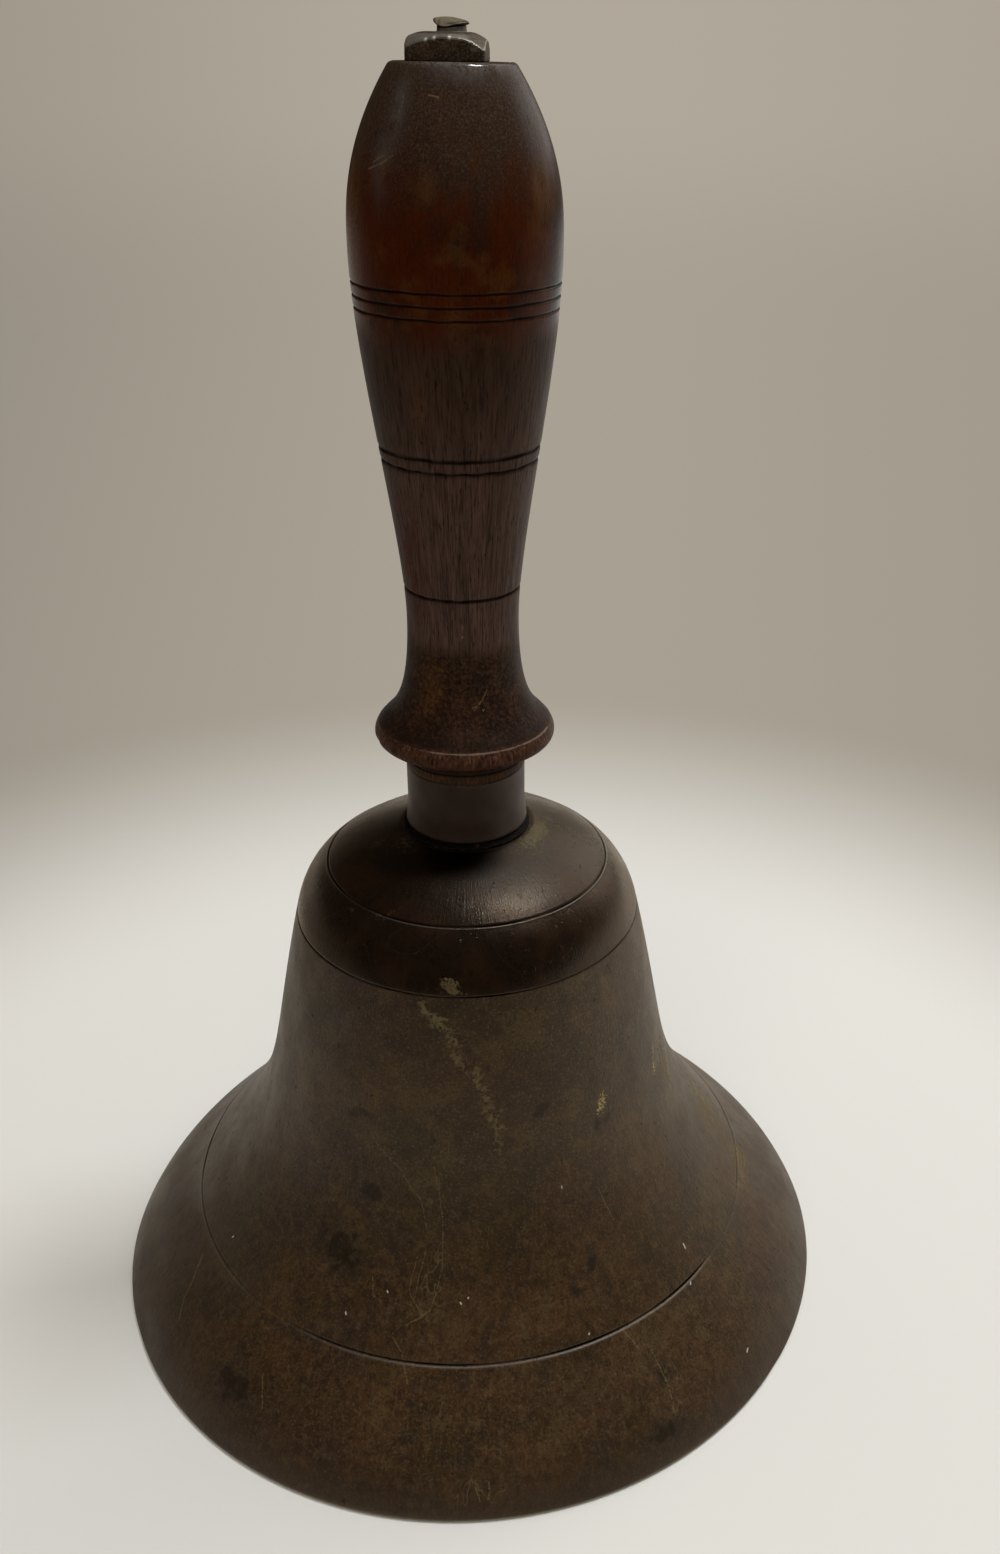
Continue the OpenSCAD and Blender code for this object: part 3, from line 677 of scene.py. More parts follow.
def handle_wood(paint, finish):
    """Turned hardwood: polished dark and red above, rubbed grey-brown below, with black lines and pores, and
    with painted sheen and highlights on the top and the edges.
    """
    noise, mark, ragged = paint.noise, paint.mark, paint.ragged
    pale_fibre, orange, dusty = (0.13, 0.076, 0.052), (0.066, 0.027, 0.0060), (0.075, 0.052, 0.036)
    cove, cove_light, cove_black = (0.0155, 0.0076, 0.0048), (0.032, 0.0150, 0.0080), (0.006, 0.0035, 0.0022)
    curl_brown, curl_gold, rim_brown = (0.055, 0.028, 0.017), (0.098, 0.046, 0.015), (0.044, 0.019, 0.010)
    rim_light, collar_brown, nicked = (0.13, 0.062, 0.036), (0.032, 0.0190, 0.0115), (0.20, 0.165, 0.13)
    scraped, arris_rub_and_highlight, sheen_grey = (0.17, 0.105, 0.045), (0.18, 0.130, 0.098), (0.072, 0.066, 0.061)
    glow, black = (0.12, 0.11, 0.10), (0.0035, 0.002, 0.0015)
    rise = paint.z - high("ferrule").z / MM
    along = paint.around(15)
    blotch = noise(14, (1, 1, 1.5), 4, 0.55, 2.3)
    cloud = noise(5, (1, 1, 1.6), 4, 0.6, 9.3)
    streak = noise(1.6, (1, 1, 12), 3, 0.6, 5.1, along)
    fibre = noise(0.34, (1, 1, 17), 3, 0.65, 8.4, along)
    pores = noise(0.34, (1, 1, 8), 2, shift=1.7, vector=along).smooth(0.60, 0.68)
    fine = noise(0.55, shift=6.6)
    speck = noise(0.38, detail=2, rough=0.7, shift=41)
    curl = noise(0.8, detail=4, rough=0.7, shift=71)
    short = noise(0.6, (1, 1, 3.5), shift=3.3)
    polish = (rise + (blotch - 0.5) * 14).smooth(82, 93)
    haze_and_sheen = (rise + (cloud - 0.5) * 24).smooth(102, 122)
    rubbed = (rise + (blotch - 0.5) * 26).smooth(84, 52) * (rise + (cloud - 0.5) * 16).smooth(19, 31)
    hollow = rise.smooth(30, 25) * rise.smooth(8.6, 9.6)
    worm = abs(noise(1.5, shift=12) - 0.5).smooth(0.05, 0.0) * hollow
    flecks = abs(noise(1.2, shift=19) - 0.5).smooth(0.035, 0.0) * cloud.smooth(0.40, 0.60)
    golden = mark("amber").smooth(0.05, 0.6, 0.15, 1.0)
    gold = mark("amber") * (cloud * 0.5 + fine * 0.5).smooth(0.34, 0.56)
    red = mark("red") * (cloud * 0.8 + fine * 0.2).smooth(0.34, 0.56)
    drawn = paint.strokes(HANDLE_SCRATCHES, 17, 0.22, 0.8) * fine.smooth(0.34, 0.52)
    rim, collar, gleam, groove = mark("rim"), mark("collar"), mark("gleam"), mark("groove")
    plain = paint.over(
        finish.wood_brown,
        (rubbed, finish.wood_grey),
        (streak.smooth(0.44, 0.70) * 0.38, finish.wood_dark),
        (fibre.smooth(0.49, 0.63) * 0.62, finish.wood_dark),
        (fibre.smooth(0.46, 0.34) * (rubbed * 0.24 + 0.08), pale_fibre))
    shiny = paint.over(
        finish.wood_red,
        ((cloud * 0.6 + blotch * 0.4).smooth(0.42, 0.60), finish.wood_dark),
        (noise(7, detail=5, rough=0.65, shift=33).smooth(0.50, 0.64) * 0.62, orange),
        (streak.smooth(0.50, 0.76) * 0.14, finish.wood_brown),
        (fine.smooth(0.46, 0.66) * 0.22, finish.wood_brown),
        (fine.smooth(0.46, 0.30) * 0.5, finish.wood_dark))
    base = paint.over(
        plain,
        (polish, shiny),
        # Dusty polish at the top, greyed as a painted sheen of the room above
        (haze_and_sheen * fine.smooth(0.2, 0.6, 0.65, 1.0), finish.wood_haze_and_sheen),
        (red * 0.8, finish.wood_red),
        (haze_and_sheen * speck.smooth(0.50, 0.66) * 0.45, dusty),
        (haze_and_sheen * speck.smooth(0.48, 0.34) * 0.5, finish.wood_dark),
        (hollow * 0.85, paint.mix(cloud.smooth(0.46, 0.62), cove, cove_light)),
        (worm * 0.85, finish.wood_dark),
        (hollow * flecks * golden * 0.70, finish.wood_amber),
        (hollow * curl.smooth(0.53, 0.62) * 0.60, paint.mix(golden, curl_brown, curl_gold)),
        (hollow * curl.smooth(0.47, 0.38) * 0.85, cove_black),
        (rise.smooth(15, 10) * 0.5, finish.wood_dark),
        # Golden patches, laid stronger on the left edge, x below -14 mm, as a painted warm edge light
        (gold * (paint.x.smooth(-14, -18) * 0.55 + 0.38), finish.wood_amber),
        (rim, rim_brown),
        (rim * short.smooth(0.52, 0.68) * 0.55, rim_light),
        (rim * short.smooth(0.46, 0.36) * 0.9, finish.wood_dark),
        (collar, collar_brown),
        (collar * short.smooth(0.42, 0.62) * 0.5, finish.wood_amber),
        (pores * polish.smooth(0, 1, 0.85, 0.35), finish.wood_dark),
        (ragged("nick", 0.45, 3.6, 0.95, 0.10, (1, 1, 1.5)) * 0.5, nicked),
        (drawn * 0.5, scraped),
        # Pale rubbed arris, partly a painted highlight on the right
        (ragged("worn", 0.9, 1.2, 0.50, 0.25) * 0.62, arris_rub_and_highlight),
        # Painted sheen: blue-grey on the upper left and the top right of the handle, for the reflection of
        # the lamps
        (mark("bloom") * cloud.smooth(0.30, 0.60) * 0.45, sheen_grey),
        # Painted highlight: pale grey on the top edge where the key lamp glints, with the real coat and lower
        # roughness of the gleam
        (gleam * fine.smooth(0.3, 0.6) * 0.5, glow),
        (groove, black))
    rough = polish.smooth(0, 1, 0.52, 0.27) + (fibre - 0.5) * 0.2 + haze_and_sheen * 0.06
    rough = rough + groove * 0.3 - rim * 0.05 - gleam * 0.10
    height = fibre * 0.5 - pores * polish.smooth(0, 1, 0.9, 0.3) + fine * 0.25 - worm * 0.5
    coarse = streak * polish.smooth(0, 1, 1.0, 0.2) + cloud * 0.6
    normal = paint.bump(coarse, 0.07, paint.bump(height, 0.05))
    paint.finish(base, rough, 0.0, normal, 0.07, (1.0, 0.80, 0.60), gleam)


def leather(paint, finish):
    """Blackened leather with a fine grain."""
    grain = paint.noise(0.7, detail=4, shift=2)
    base = paint.mix(grain.smooth(0.55, 0.8) * 0.5, finish.leather, finish.rust)
    paint.finish(base, 0.85, 0.0, paint.bump(grain, 0.12), 0.15)


def iron(paint, finish, dark, bright, rust):
    """Forged iron: dark skin, marks for bright rubbed edges, film, cracks with painted shadow and painted
    glints, and rust in patches.
    """
    yellow_film, black, light = (0.080, 0.066, 0.030), (0.003, 0.002, 0.0015), (0.95, 0.92, 0.84)
    dark, bright = getattr(finish, dark), getattr(finish, bright)
    blotch = paint.noise(3.2, detail=4, shift=2.2)
    fine = paint.noise(0.32, detail=4, rough=0.65, shift=5)
    rusted = blotch.smooth(0.50, 0.72) * rust
    worn = (paint.mark("worn") * 1.25 + fine * 0.5 + blotch * 0.3).smooth(0.75, 1.25)
    film, crack, glint = paint.mark("film"), paint.mark("crack"), paint.mark("glint")
    base = paint.over(
        dark,
        (fine.smooth(0.45, 0.7) * 0.35, bright),
        (rusted, finish.rust),
        (worn * 0.85, bright),
        (film * (0.62 + fine * 0.5), paint.mix(blotch.smooth(0.5, 0.7), finish.rod_tan, yellow_film)),
        # Cracks and the painted shadow under the rod's head
        (crack, black),
        # Painted highlight: the white glints on the nut
        (glint, light))
    rough = fine.smooth(0.3, 0.7, 0.42, 0.62) - worn * 0.16 + crack * 0.3
    metal = worn * 0.35 + 0.40 - rusted * 0.5 - film * 0.5 - glint * 0.5
    paint.finish(base, rough, metal.most(0.0), paint.bump(fine * 0.7 + blotch, 0.09))


# What makes the material of each slot, and for iron its dark and bright colours and its share of rust
SLOTS = {
    "bell_metal": (bell_metal,), "ferrule_metal": (ferrule_metal,), "handle_wood": (handle_wood,),
    "leather": (leather,), "nut_iron": (iron, "iron", "iron_worn", 0.25),
    "washer_iron": (iron, "iron", "iron_worn", 0.5), "fork_iron": (iron, "fork", "iron_worn", 0.45),
    "clapper_iron": (iron, "clapper", "iron_worn", 0.4), "rod_iron": (iron, "rod", "rod_worn", 0.3),
    "pin_steel": (iron, "pin", "steel", 0.3),
}


def material(slot):
    """The material of a slot, made only the first time."""
    if slot + "_finish" not in bpy.data.materials:
        maker, *choices = SLOTS[slot]
        maker(Paint(slot), bpy.context.scene.bell_finish, *choices)
    return bpy.data.materials[slot + "_finish"]


def bell_outline(size):
    """Middle of the lip's rounded edge, and the bell's outer line from there up to the crown seat, which is
    three cubic curves."""
    mouth_r, top = high("bell").x, high("bell").z
    edge = np.array([mouth_r - size.lip_edge, size.lip_edge])
    start = edge + size.lip_edge * toward(size.lip_lean)
    line, shoulder = (size.line_r, size.line_z), (size.shoulder_r, top - size.shoulder_drop)
    seat = (size.seat_r, top)
    skin = outline(cubic(start, -size.lip_lean, line, -size.line_lean, (0.37, 0.387), 34),
                   cubic(line, -size.line_lean, shoulder, -size.shoulder_lean, (0.444, 0.535), 50),
                   cubic(shoulder, -size.shoulder_lean, seat, -size.crown_lean, (0.405, 0.441), 50))
    return edge, skin


def bell_wall(size, z):
    """Wall at each height: smooth steps from lip to sound bow, to waist, to crown."""
    top = high("bell").z
    wall = size.lip_wall + (size.bow_wall - size.lip_wall) * smooth(z, 0, size.bow_z)
    wall = wall + (size.waist_wall - size.bow_wall) * smooth(z, size.bow_z, size.waist_z)
    return wall + (size.crown_wall - size.waist_wall) * smooth(z, top - size.shoulder_drop, top)


# Each speck or scratch is the azimuth in degrees and the height in mm of its points, one after another
BELL_SPECKS = [
    (-56.2, 26.7, -56, 27), (-14.1, 33.3, -13.9, 33.1), (-21.7, 28, -21.9, 28.3), (3.2, 33.4, 3.3, 33.5),
    (1.6, 32.7, 1.8, 32.5), (54.4, 27.5, 54.5, 28.3), (51.0, 22.4, 51.3, 22.7), (26.5, 24.3, 26.6, 24.4),
    (53.9, 8.0, 54.4, 8.3), (27.8, 50.2, 27.8, 50.6), (-128, 60, -128, 60.3), (142, 34, 142.2, 34.2)]
BELL_SCRATCHES = [
    (-22, 61, -15, 56.5, -8.8, 50.6, -6.5, 45), (-5.2, 58, -3.0, 47, -2.6, 38, -4.5, 31, -9, 28.5),
    (-8.4, 40, -9.4, 34, -6.0, 30), (-6.6, 41, -8.0, 33), (-11.5, 26.4, -9.2, 24.4, -7.2, 20),
    (37.0, 18.4, 37.4, 12.6, 36.6, 8.6), (4.2, 7.5, 4.8, 4), (6.2, 7, 6, 4.4), (33, 23, 35, 19),
    (-33.5, 15, -31, 10.5), (-61, 20, -55, 11), (-18, 35, -17, 32, -15, 31.6), (38, 47, 39.5, 40),
    (150, 70, 158, 48, 150, 30), (-140, 60, -128, 52, -122, 38), (110, 40, 119, 26), (-95, 78, -88, 66)]
HANDLE_SCRATCHES = [
    (-47.2, 243.5, -38, 244.4, -30.8, 245.5), (-43.7, 244.6, -37, 245.6), (12, 146.2, 19, 147.2, 27, 149.4),
    (-12, 254.6, -5, 254.4), (150, 240, 160, 226), (-120, 232, -114, 240), (100, 205, 104, 190),
    (19, 147.4, 13.5, 146.0), (4, 163, 4.6, 162.2)]

# The spots of each mark: azimuth in degrees, height in mm, half width in degrees and half height in mm
BELL_SPOTS = {
    "gloom": [
        (-29.5, 65.8, 4.6, 1.6), (-26.5, 66.6, 2.4, 0.9), (25.4, 69.4, 2.2, 1.6), (44.8, 60.6, 1.6, 2.2),
        (-22, 50, 5, 3), (-27, 38, 7, 5), (-38, 11, 5, 3.6), (31, 34.6, 1.8, 2.4), (26, 31.4, 2, 1.4),
        (41, 60, 2, 2.2), (23, 68, 2, 1.6), (34, 6.5, 3.2, 1.6), (37, 14.5, 2, 2), (-120, 40, 8, 6),
        (150, 20, 7, 4), (110, 75, 5, 6), (-150, 70, 6, 5)],
    "warm": [
        (8, 27, 22, 6), (0, 17, 30, 5), (30, 31, 14, 7), (46, 12, 10, 5), (-22, 70, 9, 8), (16, 10, 16, 5),
        (-160, 30, 25, 8), (120, 25, 20, 8), (-90, 16, 18, 5)],
    "crust": [
        (-10.6, 93.2, 1.6, 1.0), (-8.6, 91.8, 1.8, 1.2), (-6.2, 90.4, 1.9, 1.4), (-3.6, 89, 2.1, 1.5),
        (-1.6, 86.4, 1.7, 1.9), (0.2, 83.8, 1.7, 1.8), (1.6, 81.4, 1.4, 1.3), (6.2, 79.4, 1.8, 1.1),
        (6.0, 77.6, 1.5, 1.2), (7.6, 75.6, 1.5, 1.5), (9.4, 73.4, 1.5, 1.3), (8.9, 71.4, 1.2, 1.3),
        (10.2, 69.0, 2.0, 1.7), (11.8, 66.4, 1.6, 1.6), (11.4, 63.6, 1.3, 1.3), (11.8, 61.6, 0.8, 1.0),
        (-2.4, 97.4, 2.6, 1.3), (-1.6, 97.2, 2.2, 0.9), (0.6, 96, 2.2, 0.7), (-4.6, 98, 0.6, 0.4),
        (80, 56, 5, 5), (96, 33, 9, 7), (88, 22, 8, 3), (170, 84, 5, 3), (-100, 88, 4, 3), (-150, 40, 7, 5)],
    "bare": [(44.2, 65.4, 2.1, 1.9), (42.8, 63.2, 1.5, 1.6), (71, 60.5, 1.5, 2.4), (73, 64, 1.2, 1.4)],
    "scratch": [
        (-4, 48, 5, 14), (-7, 33, 6, 6), (4, 6, 5, 3), (38, 12, 3, 5), (-20, 58, 6, 4), (140, 50, 10, 14)],
    "chip": [
        (-31, 106.3, 5, 0.8), (-26, 107.4, 3, 0.6), (-44, 105.6, 3, 0.6), (45, 106, 6, 0.8),
        (62, 106, 5, 0.8), (-70, 112, 5, 1)],
}
HANDLE_SPOTS = {
    "red": [
        (-34, 234, 26, 11), (-8, 225, 10, 4), (45, 232, 16, 9), (-10, 219, 10, 3), (-52, 178, 16, 9),
        (-42, 169, 10, 4), (150, 228, 40, 14), (-140, 190, 25, 14)],
    "amber": [
        (3, 221, 5, 3), (-20, 205, 7, 4), (-30, 150, 16, 5), (56, 241, 7, 3), (-70, 233, 10, 16),
        (-9, 241, 5, 2.4), (-36, 244.5, 4, 1.5), (-60, 234, 8, 12), (60, 240, 7, 5), (120, 150, 20, 5),
        (-120, 240, 12, 6)],
    "nick": [
        (-31, 252.8, 1.2, 1.8), (-30, 247.5, 0.9, 1.2), (4.6, 163, 1.3, 1.0), (3.6, 160.6, 1.1, 1.2),
        (22, 146, 3, 0.8)],
    # Painted sheen where the handle would mirror the lamps
    "bloom": [(-33, 252, 7, 5), (-38, 246, 6, 7), (24, 257.6, 30, 1.6), (60, 250, 8, 6)],
    "gleam": [
        (2, 259.2, 34, 0.5), (20, 258.9, 26, 1.1), (13, 259.2, 4, 0.8), (24, 259.1, 4, 0.8),
        (32, 259.0, 3, 0.7)],
}
# Each dent is a spot and its depth in mm
BELL_DENTS = [
    (-62, 3, 3, 2.2, 0.25), (58, 2, 2.2, 1.6, 0.2), (12, 100, 5, 3, 0.08), (-150, 2, 3, 2, 0.3),
    (100, 60, 6, 6, 0.12), (-40, 80, 5, 5, 0.08), (-10, 12, 4, 2.6, 0.08)]
HANDLE_DENTS = [
    (-35, 245, 5, 2.2, 0.22), (-31, 252.8, 4, 2.4, 0.15), (56, 242, 5, 2.5, 0.15), (-9, 240, 3, 4, 0.08),
    (24, 141, 6, 1.6, 0.15), (120, 235, 8, 4, 0.2), (-140, 225, 6, 5, 0.2), (170, 200, 5, 6, 0.15),
    (30, 137, 3, 1, 0.15), (-70, 136, 4, 1.2, 0.2), (150, 137, 4, 1.2, 0.2)]
# Places round the ferrule with a green crust and with painted shade in front of it, and on the inside where
# the clapper strikes
GREEN, FAINT_GREEN = [(74, 0, 32, 1), (150, 0, 20, 1), (-140, 0, 24, 1)], [(-54, 0, 14, 1)]
FERRULE_SHADE, STRUCK = [(2, 0, 52, 1)], [(90, 27, 7, 4), (-90, 27, 7, 4)]


def spotted(outer, across, along, spots):
    """Marks of soft spots on the outside of a piece."""
    return {name: outer * blot(across, along, places) for name, places in spots.items()}


class MakeBell(bpy.types.Operator):
    """Make the turned bell, with its lines, wear and inner wall"""
    bl_idname = "handbell.make_bell"
    bl_label = "Bell"

    def execute(self, context):
        size = context.scene.bell_sizes
        edge, skin = bell_outline(size)
        hollow = (skin - outward(skin) * bell_wall(size, skin[:, 1])[:, None])[::5]
        top, (inner_r, inner_top), lip_r = high("bell").z, hollow[-1], hollow[0, 0]
        loop = outline(arc(edge, size.lip_edge, -90, math.degrees(size.lip_lean)), skin, (ROD_HOLE, top),
                       (ROD_HOLE, inner_top), (inner_r, inner_top), hollow[::-1],
                       (lip_r + 0.3 * MM, 0.35 * MM), (lip_r + 0.7 * MM, 0.0))
        lines = [(size.line_r, size.line_z), (size.shoulder_r, top - size.shoulder_drop),
                 (size.crown_line_r, np.interp(-size.crown_line_r, -skin[:, 0], skin[:, 1]))]
        places = [run_at(loop, place) for place in lines]
        run, line = refine(loop, 1.5 * MM, places, 0.11 * MM, 0.7 * MM)
        angle = turns(size.steps)
        across, along, radius = azimuth(angle), line[:, 1:] / MM, line[:, :1] / MM
        outer = (run < run_at(line, skin[-1]) + 1e-6)[:, None] * 1.0
        bulge = 0.05 * MM * sines(angle, run[:, None] / MM, 11, 9, 0.09) * outer
        groove = burr = 0.0
        # For each line, its width and depth as a share of the first, and whether it has a burr
        for order, (place, share, burred) in enumerate(zip(places, (1.0, 0.78, 0.72), (1.0, 0.0, 1.0))):
            away = (run[:, None] - place) / (0.5 * size.groove_w * share)
            kept = 0.78 + 0.22 * np.clip(sines(angle, 0, 31 + order, 14), -1, 1)
            # Painted highlight: the burr is shown brighter from the front round the right, and on the lowest
            # line only at the front
            shown, least = smooth(across, -50, 30), 0.0
            if order == 0:
                front = smooth(across, -38, -22) * smooth(across, 62, 52)
                kept = kept * (0.12 + 0.88 * front + 0.5 * smooth(np.abs(across), 78, 84))
                shown, least = shown * smooth(np.abs(across - 12), 48, 30), 0.4
            bulge = bulge - size.groove_depth * kept * near(away, 0, 1) * share
            bulge = bulge + size.groove_lip * burred * near(away, -1.9, 0.8)
            groove = groove + kept * np.exp(-(away / 0.85) ** 4)
            bright = np.maximum(kept, least) * (0.22 + 0.78 * shown) * burred
            burr = burr + near(away, -1.8, 0.6) * bright
        bulge = bulge - outer * dented(across, along, BELL_DENTS)
        seat = along > 105
        marks = spotted(outer, across, along, BELL_SPOTS)
        green = blot(across, 0, GREEN) + 0.6 * blot(across, 0, FAINT_GREEN)
        marks["green"] = outer * seat * near(radius, 15.4, 2.3) * green
        # Painted shade on the crown in front of the ferrule
        marks["soot"] = outer * seat * near(np.maximum(radius, 15.5), 15.5, 7.0) * blot(across, 0, FERRULE_SHADE)
        marks["groove"], marks["burr"] = unit(outer * groove), unit(outer * burr)
        marks["inside"] = 1 - outer
        marks["struck"] = (1 - outer) * blot(across, along, STRUCK)
        points = spin(line, size.steps, bulge)
        reach = np.linalg.norm(points[..., :2], axis=-1, keepdims=True)
        points[..., :2] *= np.minimum(1, (high("bell").y - 0.02 * MM) / reach)
        points[..., 2] = np.maximum(points[..., 2], 0)
        build("bell", points, "bell_metal", HAND, "bell", marks=marks)
        return {"FINISHED"}


def handle_outline(size):
    """The grip's outline from the rim up to the flat top, the closed outline of the whole handle, and the
    place of the edge between rim and cove."""
    foot, top, tenon_low = high("ferrule").z, high("handle").z, low("handle").z
    collar_r, tenon_r, bead_r = high("ferrule").x - TAPER, 10.77 * MM, size.bead_t / 2
    recess_r, recess_z, rim_z = 5.8 * MM, low("nut_washer").z, foot + size.rim_rise
    over = np.array([size.rim_d / 2 - size.rim_over, rim_z])
    rim_top = over + size.rim_over * toward(size.rim_turn)
    neck, belly = (size.neck_d / 2, foot + size.neck_rise), (size.belly_d / 2, foot + size.belly_rise)
    edge = np.array([size.top_flat_d / 2, top - size.top_edge])
    top_start = edge + size.top_edge * toward(-size.top_lean)
    grip = outline(arc(over, size.rim_over, 0, math.degrees(size.rim_turn)),
                   cubic(rim_top, size.rim_lean, neck, 0, (0.15, 0.84), 40),
                   cubic(neck, 0, belly, 0, (0.223, 0.269), 60),
                   cubic(belly, 0, top_start, size.top_lean, (0.218, 0.503), 40),
                   arc(edge, size.top_edge, -math.degrees(size.top_lean), 90))
    loop = outline((ROD_HOLE, tenon_low), (tenon_r, tenon_low), (tenon_r, foot), (collar_r, foot),
                   (collar_r, foot + size.collar_h),
                   arc((size.bead_d / 2 - bead_r, foot + size.collar_h + bead_r), bead_r, -90, 90),
                   arc((size.rim_d / 2 - size.rim_under, rim_z), size.rim_under, -90, 0), grip,
                   (recess_r, top), (recess_r, recess_z), (ROD_HOLE, recess_z))
    return grip, loop, rim_top


class MakeHandle(bpy.types.Operator):
    """Make the turned wooden handle, with its rim, cove and lines"""
    bl_idname = "handbell.make_handle"
    bl_label = "Handle"

    def execute(self, context):
        size = context.scene.handle_sizes
        foot, collar_r = high("ferrule").z, high("ferrule").x - TAPER
        grip, loop, rim_top = handle_outline(size)
        heights = [foot + size.single_rise]
        heights += [foot + size.pair_rise + way * size.pair_pitch / 2 for way in (-1, 1)]
        heights += [foot + size.triple_rise + way * size.triple_pitch for way in (-1, 0, 1)]
        places = [run_at(loop, (np.interp(z, grip[:, 1], grip[:, 0]), z)) for z in heights]
        arris = run_at(loop, rim_top)
        run, line = refine(loop, 0.85 * MM, places + [arris], 0.12 * MM, 0.72 * MM)
        places = [run[np.argmin(np.abs(line[:, 1] - z) + (line[:, 0] < 9 * MM))] for z in heights]
        angle = turns(size.steps)
        across, along = azimuth(angle), line[:, 1:] / MM
        outer = ((run > run_at(line, (collar_r, foot))) & (run < run_at(line, grip[-1])))[:, None] * 1.0
        bulge = outer * 0.06 * MM * sines(angle, run[:, None] / MM, 5, 5, 0.06)
        groove = 0.0
        # The single line and the pair are wide and deep. The pair is ragged
        for order, place in enumerate(places):
            ragged = 0.5 if order in (1, 2) else 0.32
            width, depth = ((1.15, 1.0), (1.0, 1.0), (1.0, 1.0), (0.72, 0.6), (0.72, 0.6), (0.72, 0.6))[order]
            wander = 0.14 * MM * ragged * sines(angle, 0, 61 + order, 22)
            away = (run[:, None] - place + wander) / (0.5 * size.groove_w * width)
            kept = 1 - ragged * 0.5 * (1 + np.clip(sines(angle, 0, 71 + order, 26), -1, 1))
            bulge = bulge - size.groove_depth * kept * near(away, 0, 1) * depth
            groove = groove + (0.45 + 0.55 * kept) * np.exp(-(away / (0.80 + 0.3 * kept)) ** 4)
        for seam in (foot + size.collar_h, foot + size.collar_h + size.bead_t):
            groove = groove + near(line[:, 1:], seam, 0.22 * MM) * (line[:, :1] < 13.4 * MM)
        # Rubbed arris of the rim, strongest from the front round to the right, where its pale line is partly
        # a painted highlight
        rub_and_highlight = smooth(across, -40, 6) * smooth(across, 95, 62) * (0.85 + 0.25 * sines(angle, 0, 91, 30))
        rub_and_highlight = unit(rub_and_highlight + 0.16 + 0.22 * sines(angle, 0, 92, 20))
        away = (run[:, None] - arris) / (0.35 * MM)
        bulge = bulge + size.arris * near(away, 0, 1) * (1 - 0.6 * rub_and_highlight)
        bulge = bulge - outer * dented(across, along, HANDLE_DENTS)
        rise, rim, collar = along - foot / MM, size.rim_rise / MM, size.collar_h / MM
        marks = spotted(outer, across, along, HANDLE_SPOTS)
        marks["groove"], marks["worn"] = unit(outer * groove), unit(outer * rub_and_highlight * near(away, 0, 0.62))
        marks["rim"] = outer * smooth(rise, 2.8, 4.2) * smooth(rise, rim + 3, rim + 1.6)
        marks["collar"] = outer * smooth(rise, collar + 0.1, collar)
        build("handle", spin(line, size.steps, bulge), "handle_wood", HAND, "handle", marks=marks)
        return {"FINISHED"}


class MakeFerrule(bpy.types.Operator):
    """Make the ferrule and the leather ring under it"""
    bl_idname = "handbell.make_ferrule"
    bl_label = "Ferrule and leather ring"

    def execute(self, context):
        steps = context.scene.handle_sizes.steps
        angle = turns(steps)
        foot_z, top, foot_r = low("ferrule").z, high("ferrule").z, high("ferrule").x
        top_r, inner, edge, flare, small = foot_r - TAPER, 10.8 * MM, 1 * MM, 5 * MM, 0.35 * MM
        loop = outline(arc((foot_r - edge, foot_z + edge), edge, -90, 0), (top_r + 0.02 * MM, foot_z + flare),
                       (top_r, foot_z + flare + 1.5 * MM), arc((top_r - small, top - small), small, 0, 90, 5),
                       (inner, top), (inner, foot_z))
        run, line = refine(loop, 0.8 * MM)
        outer = (line[:, :1] > 12 * MM) * 1.0
        bulge = outer * 0.03 * MM * (sines(angle, run[:, None] / MM, 17, 5, 0.2) - 1)
        rim = near(line[:, 1:], top, 0.5 * MM) + 0.5 * near(line[:, 1:], foot_z + edge, edge)
        marks = {"edge": outer * rim * (0.6 + 0.4 * sines(angle, 0, 18, 9))}
        build("ferrule", spin(line, steps, bulge), "ferrule_metal", HAND, "ferrule", marks=marks)
        low_z, high_z, out_r = low("leather_washer").z, high("leather_washer").z, high("leather_washer").x
        half = (high_z - low_z) / 2
        loop = outline(side(out_r, low_z, high_z, half), (ROD_HOLE, high_z), (ROD_HOLE, low_z))
        run, line = refine(loop, 0.8 * MM)
        bulge = 0.16 * MM * (sines(angle, run[:, None] / MM, 19, 24, 0.8) - 1.4)
        points = spin(line, steps, bulge * (line[:, :1] > out_r - half))
        build("leather_ring", points, "leather", HAND, "leather_washer")
        return {"FINISHED"}


def square(angle, width, corner_r, sharp=40):
    """Radius of a square with its corners cut round: a smooth least of half width / |cos|, half width /
    |sin| and the corner radius."""
    parts = [width / 2 / np.maximum(np.abs(ratio), 1e-6) for ratio in (np.cos(angle), np.sin(angle))]
    return sum(part ** -sharp for part in (*parts, corner_r)) ** (-1 / sharp)


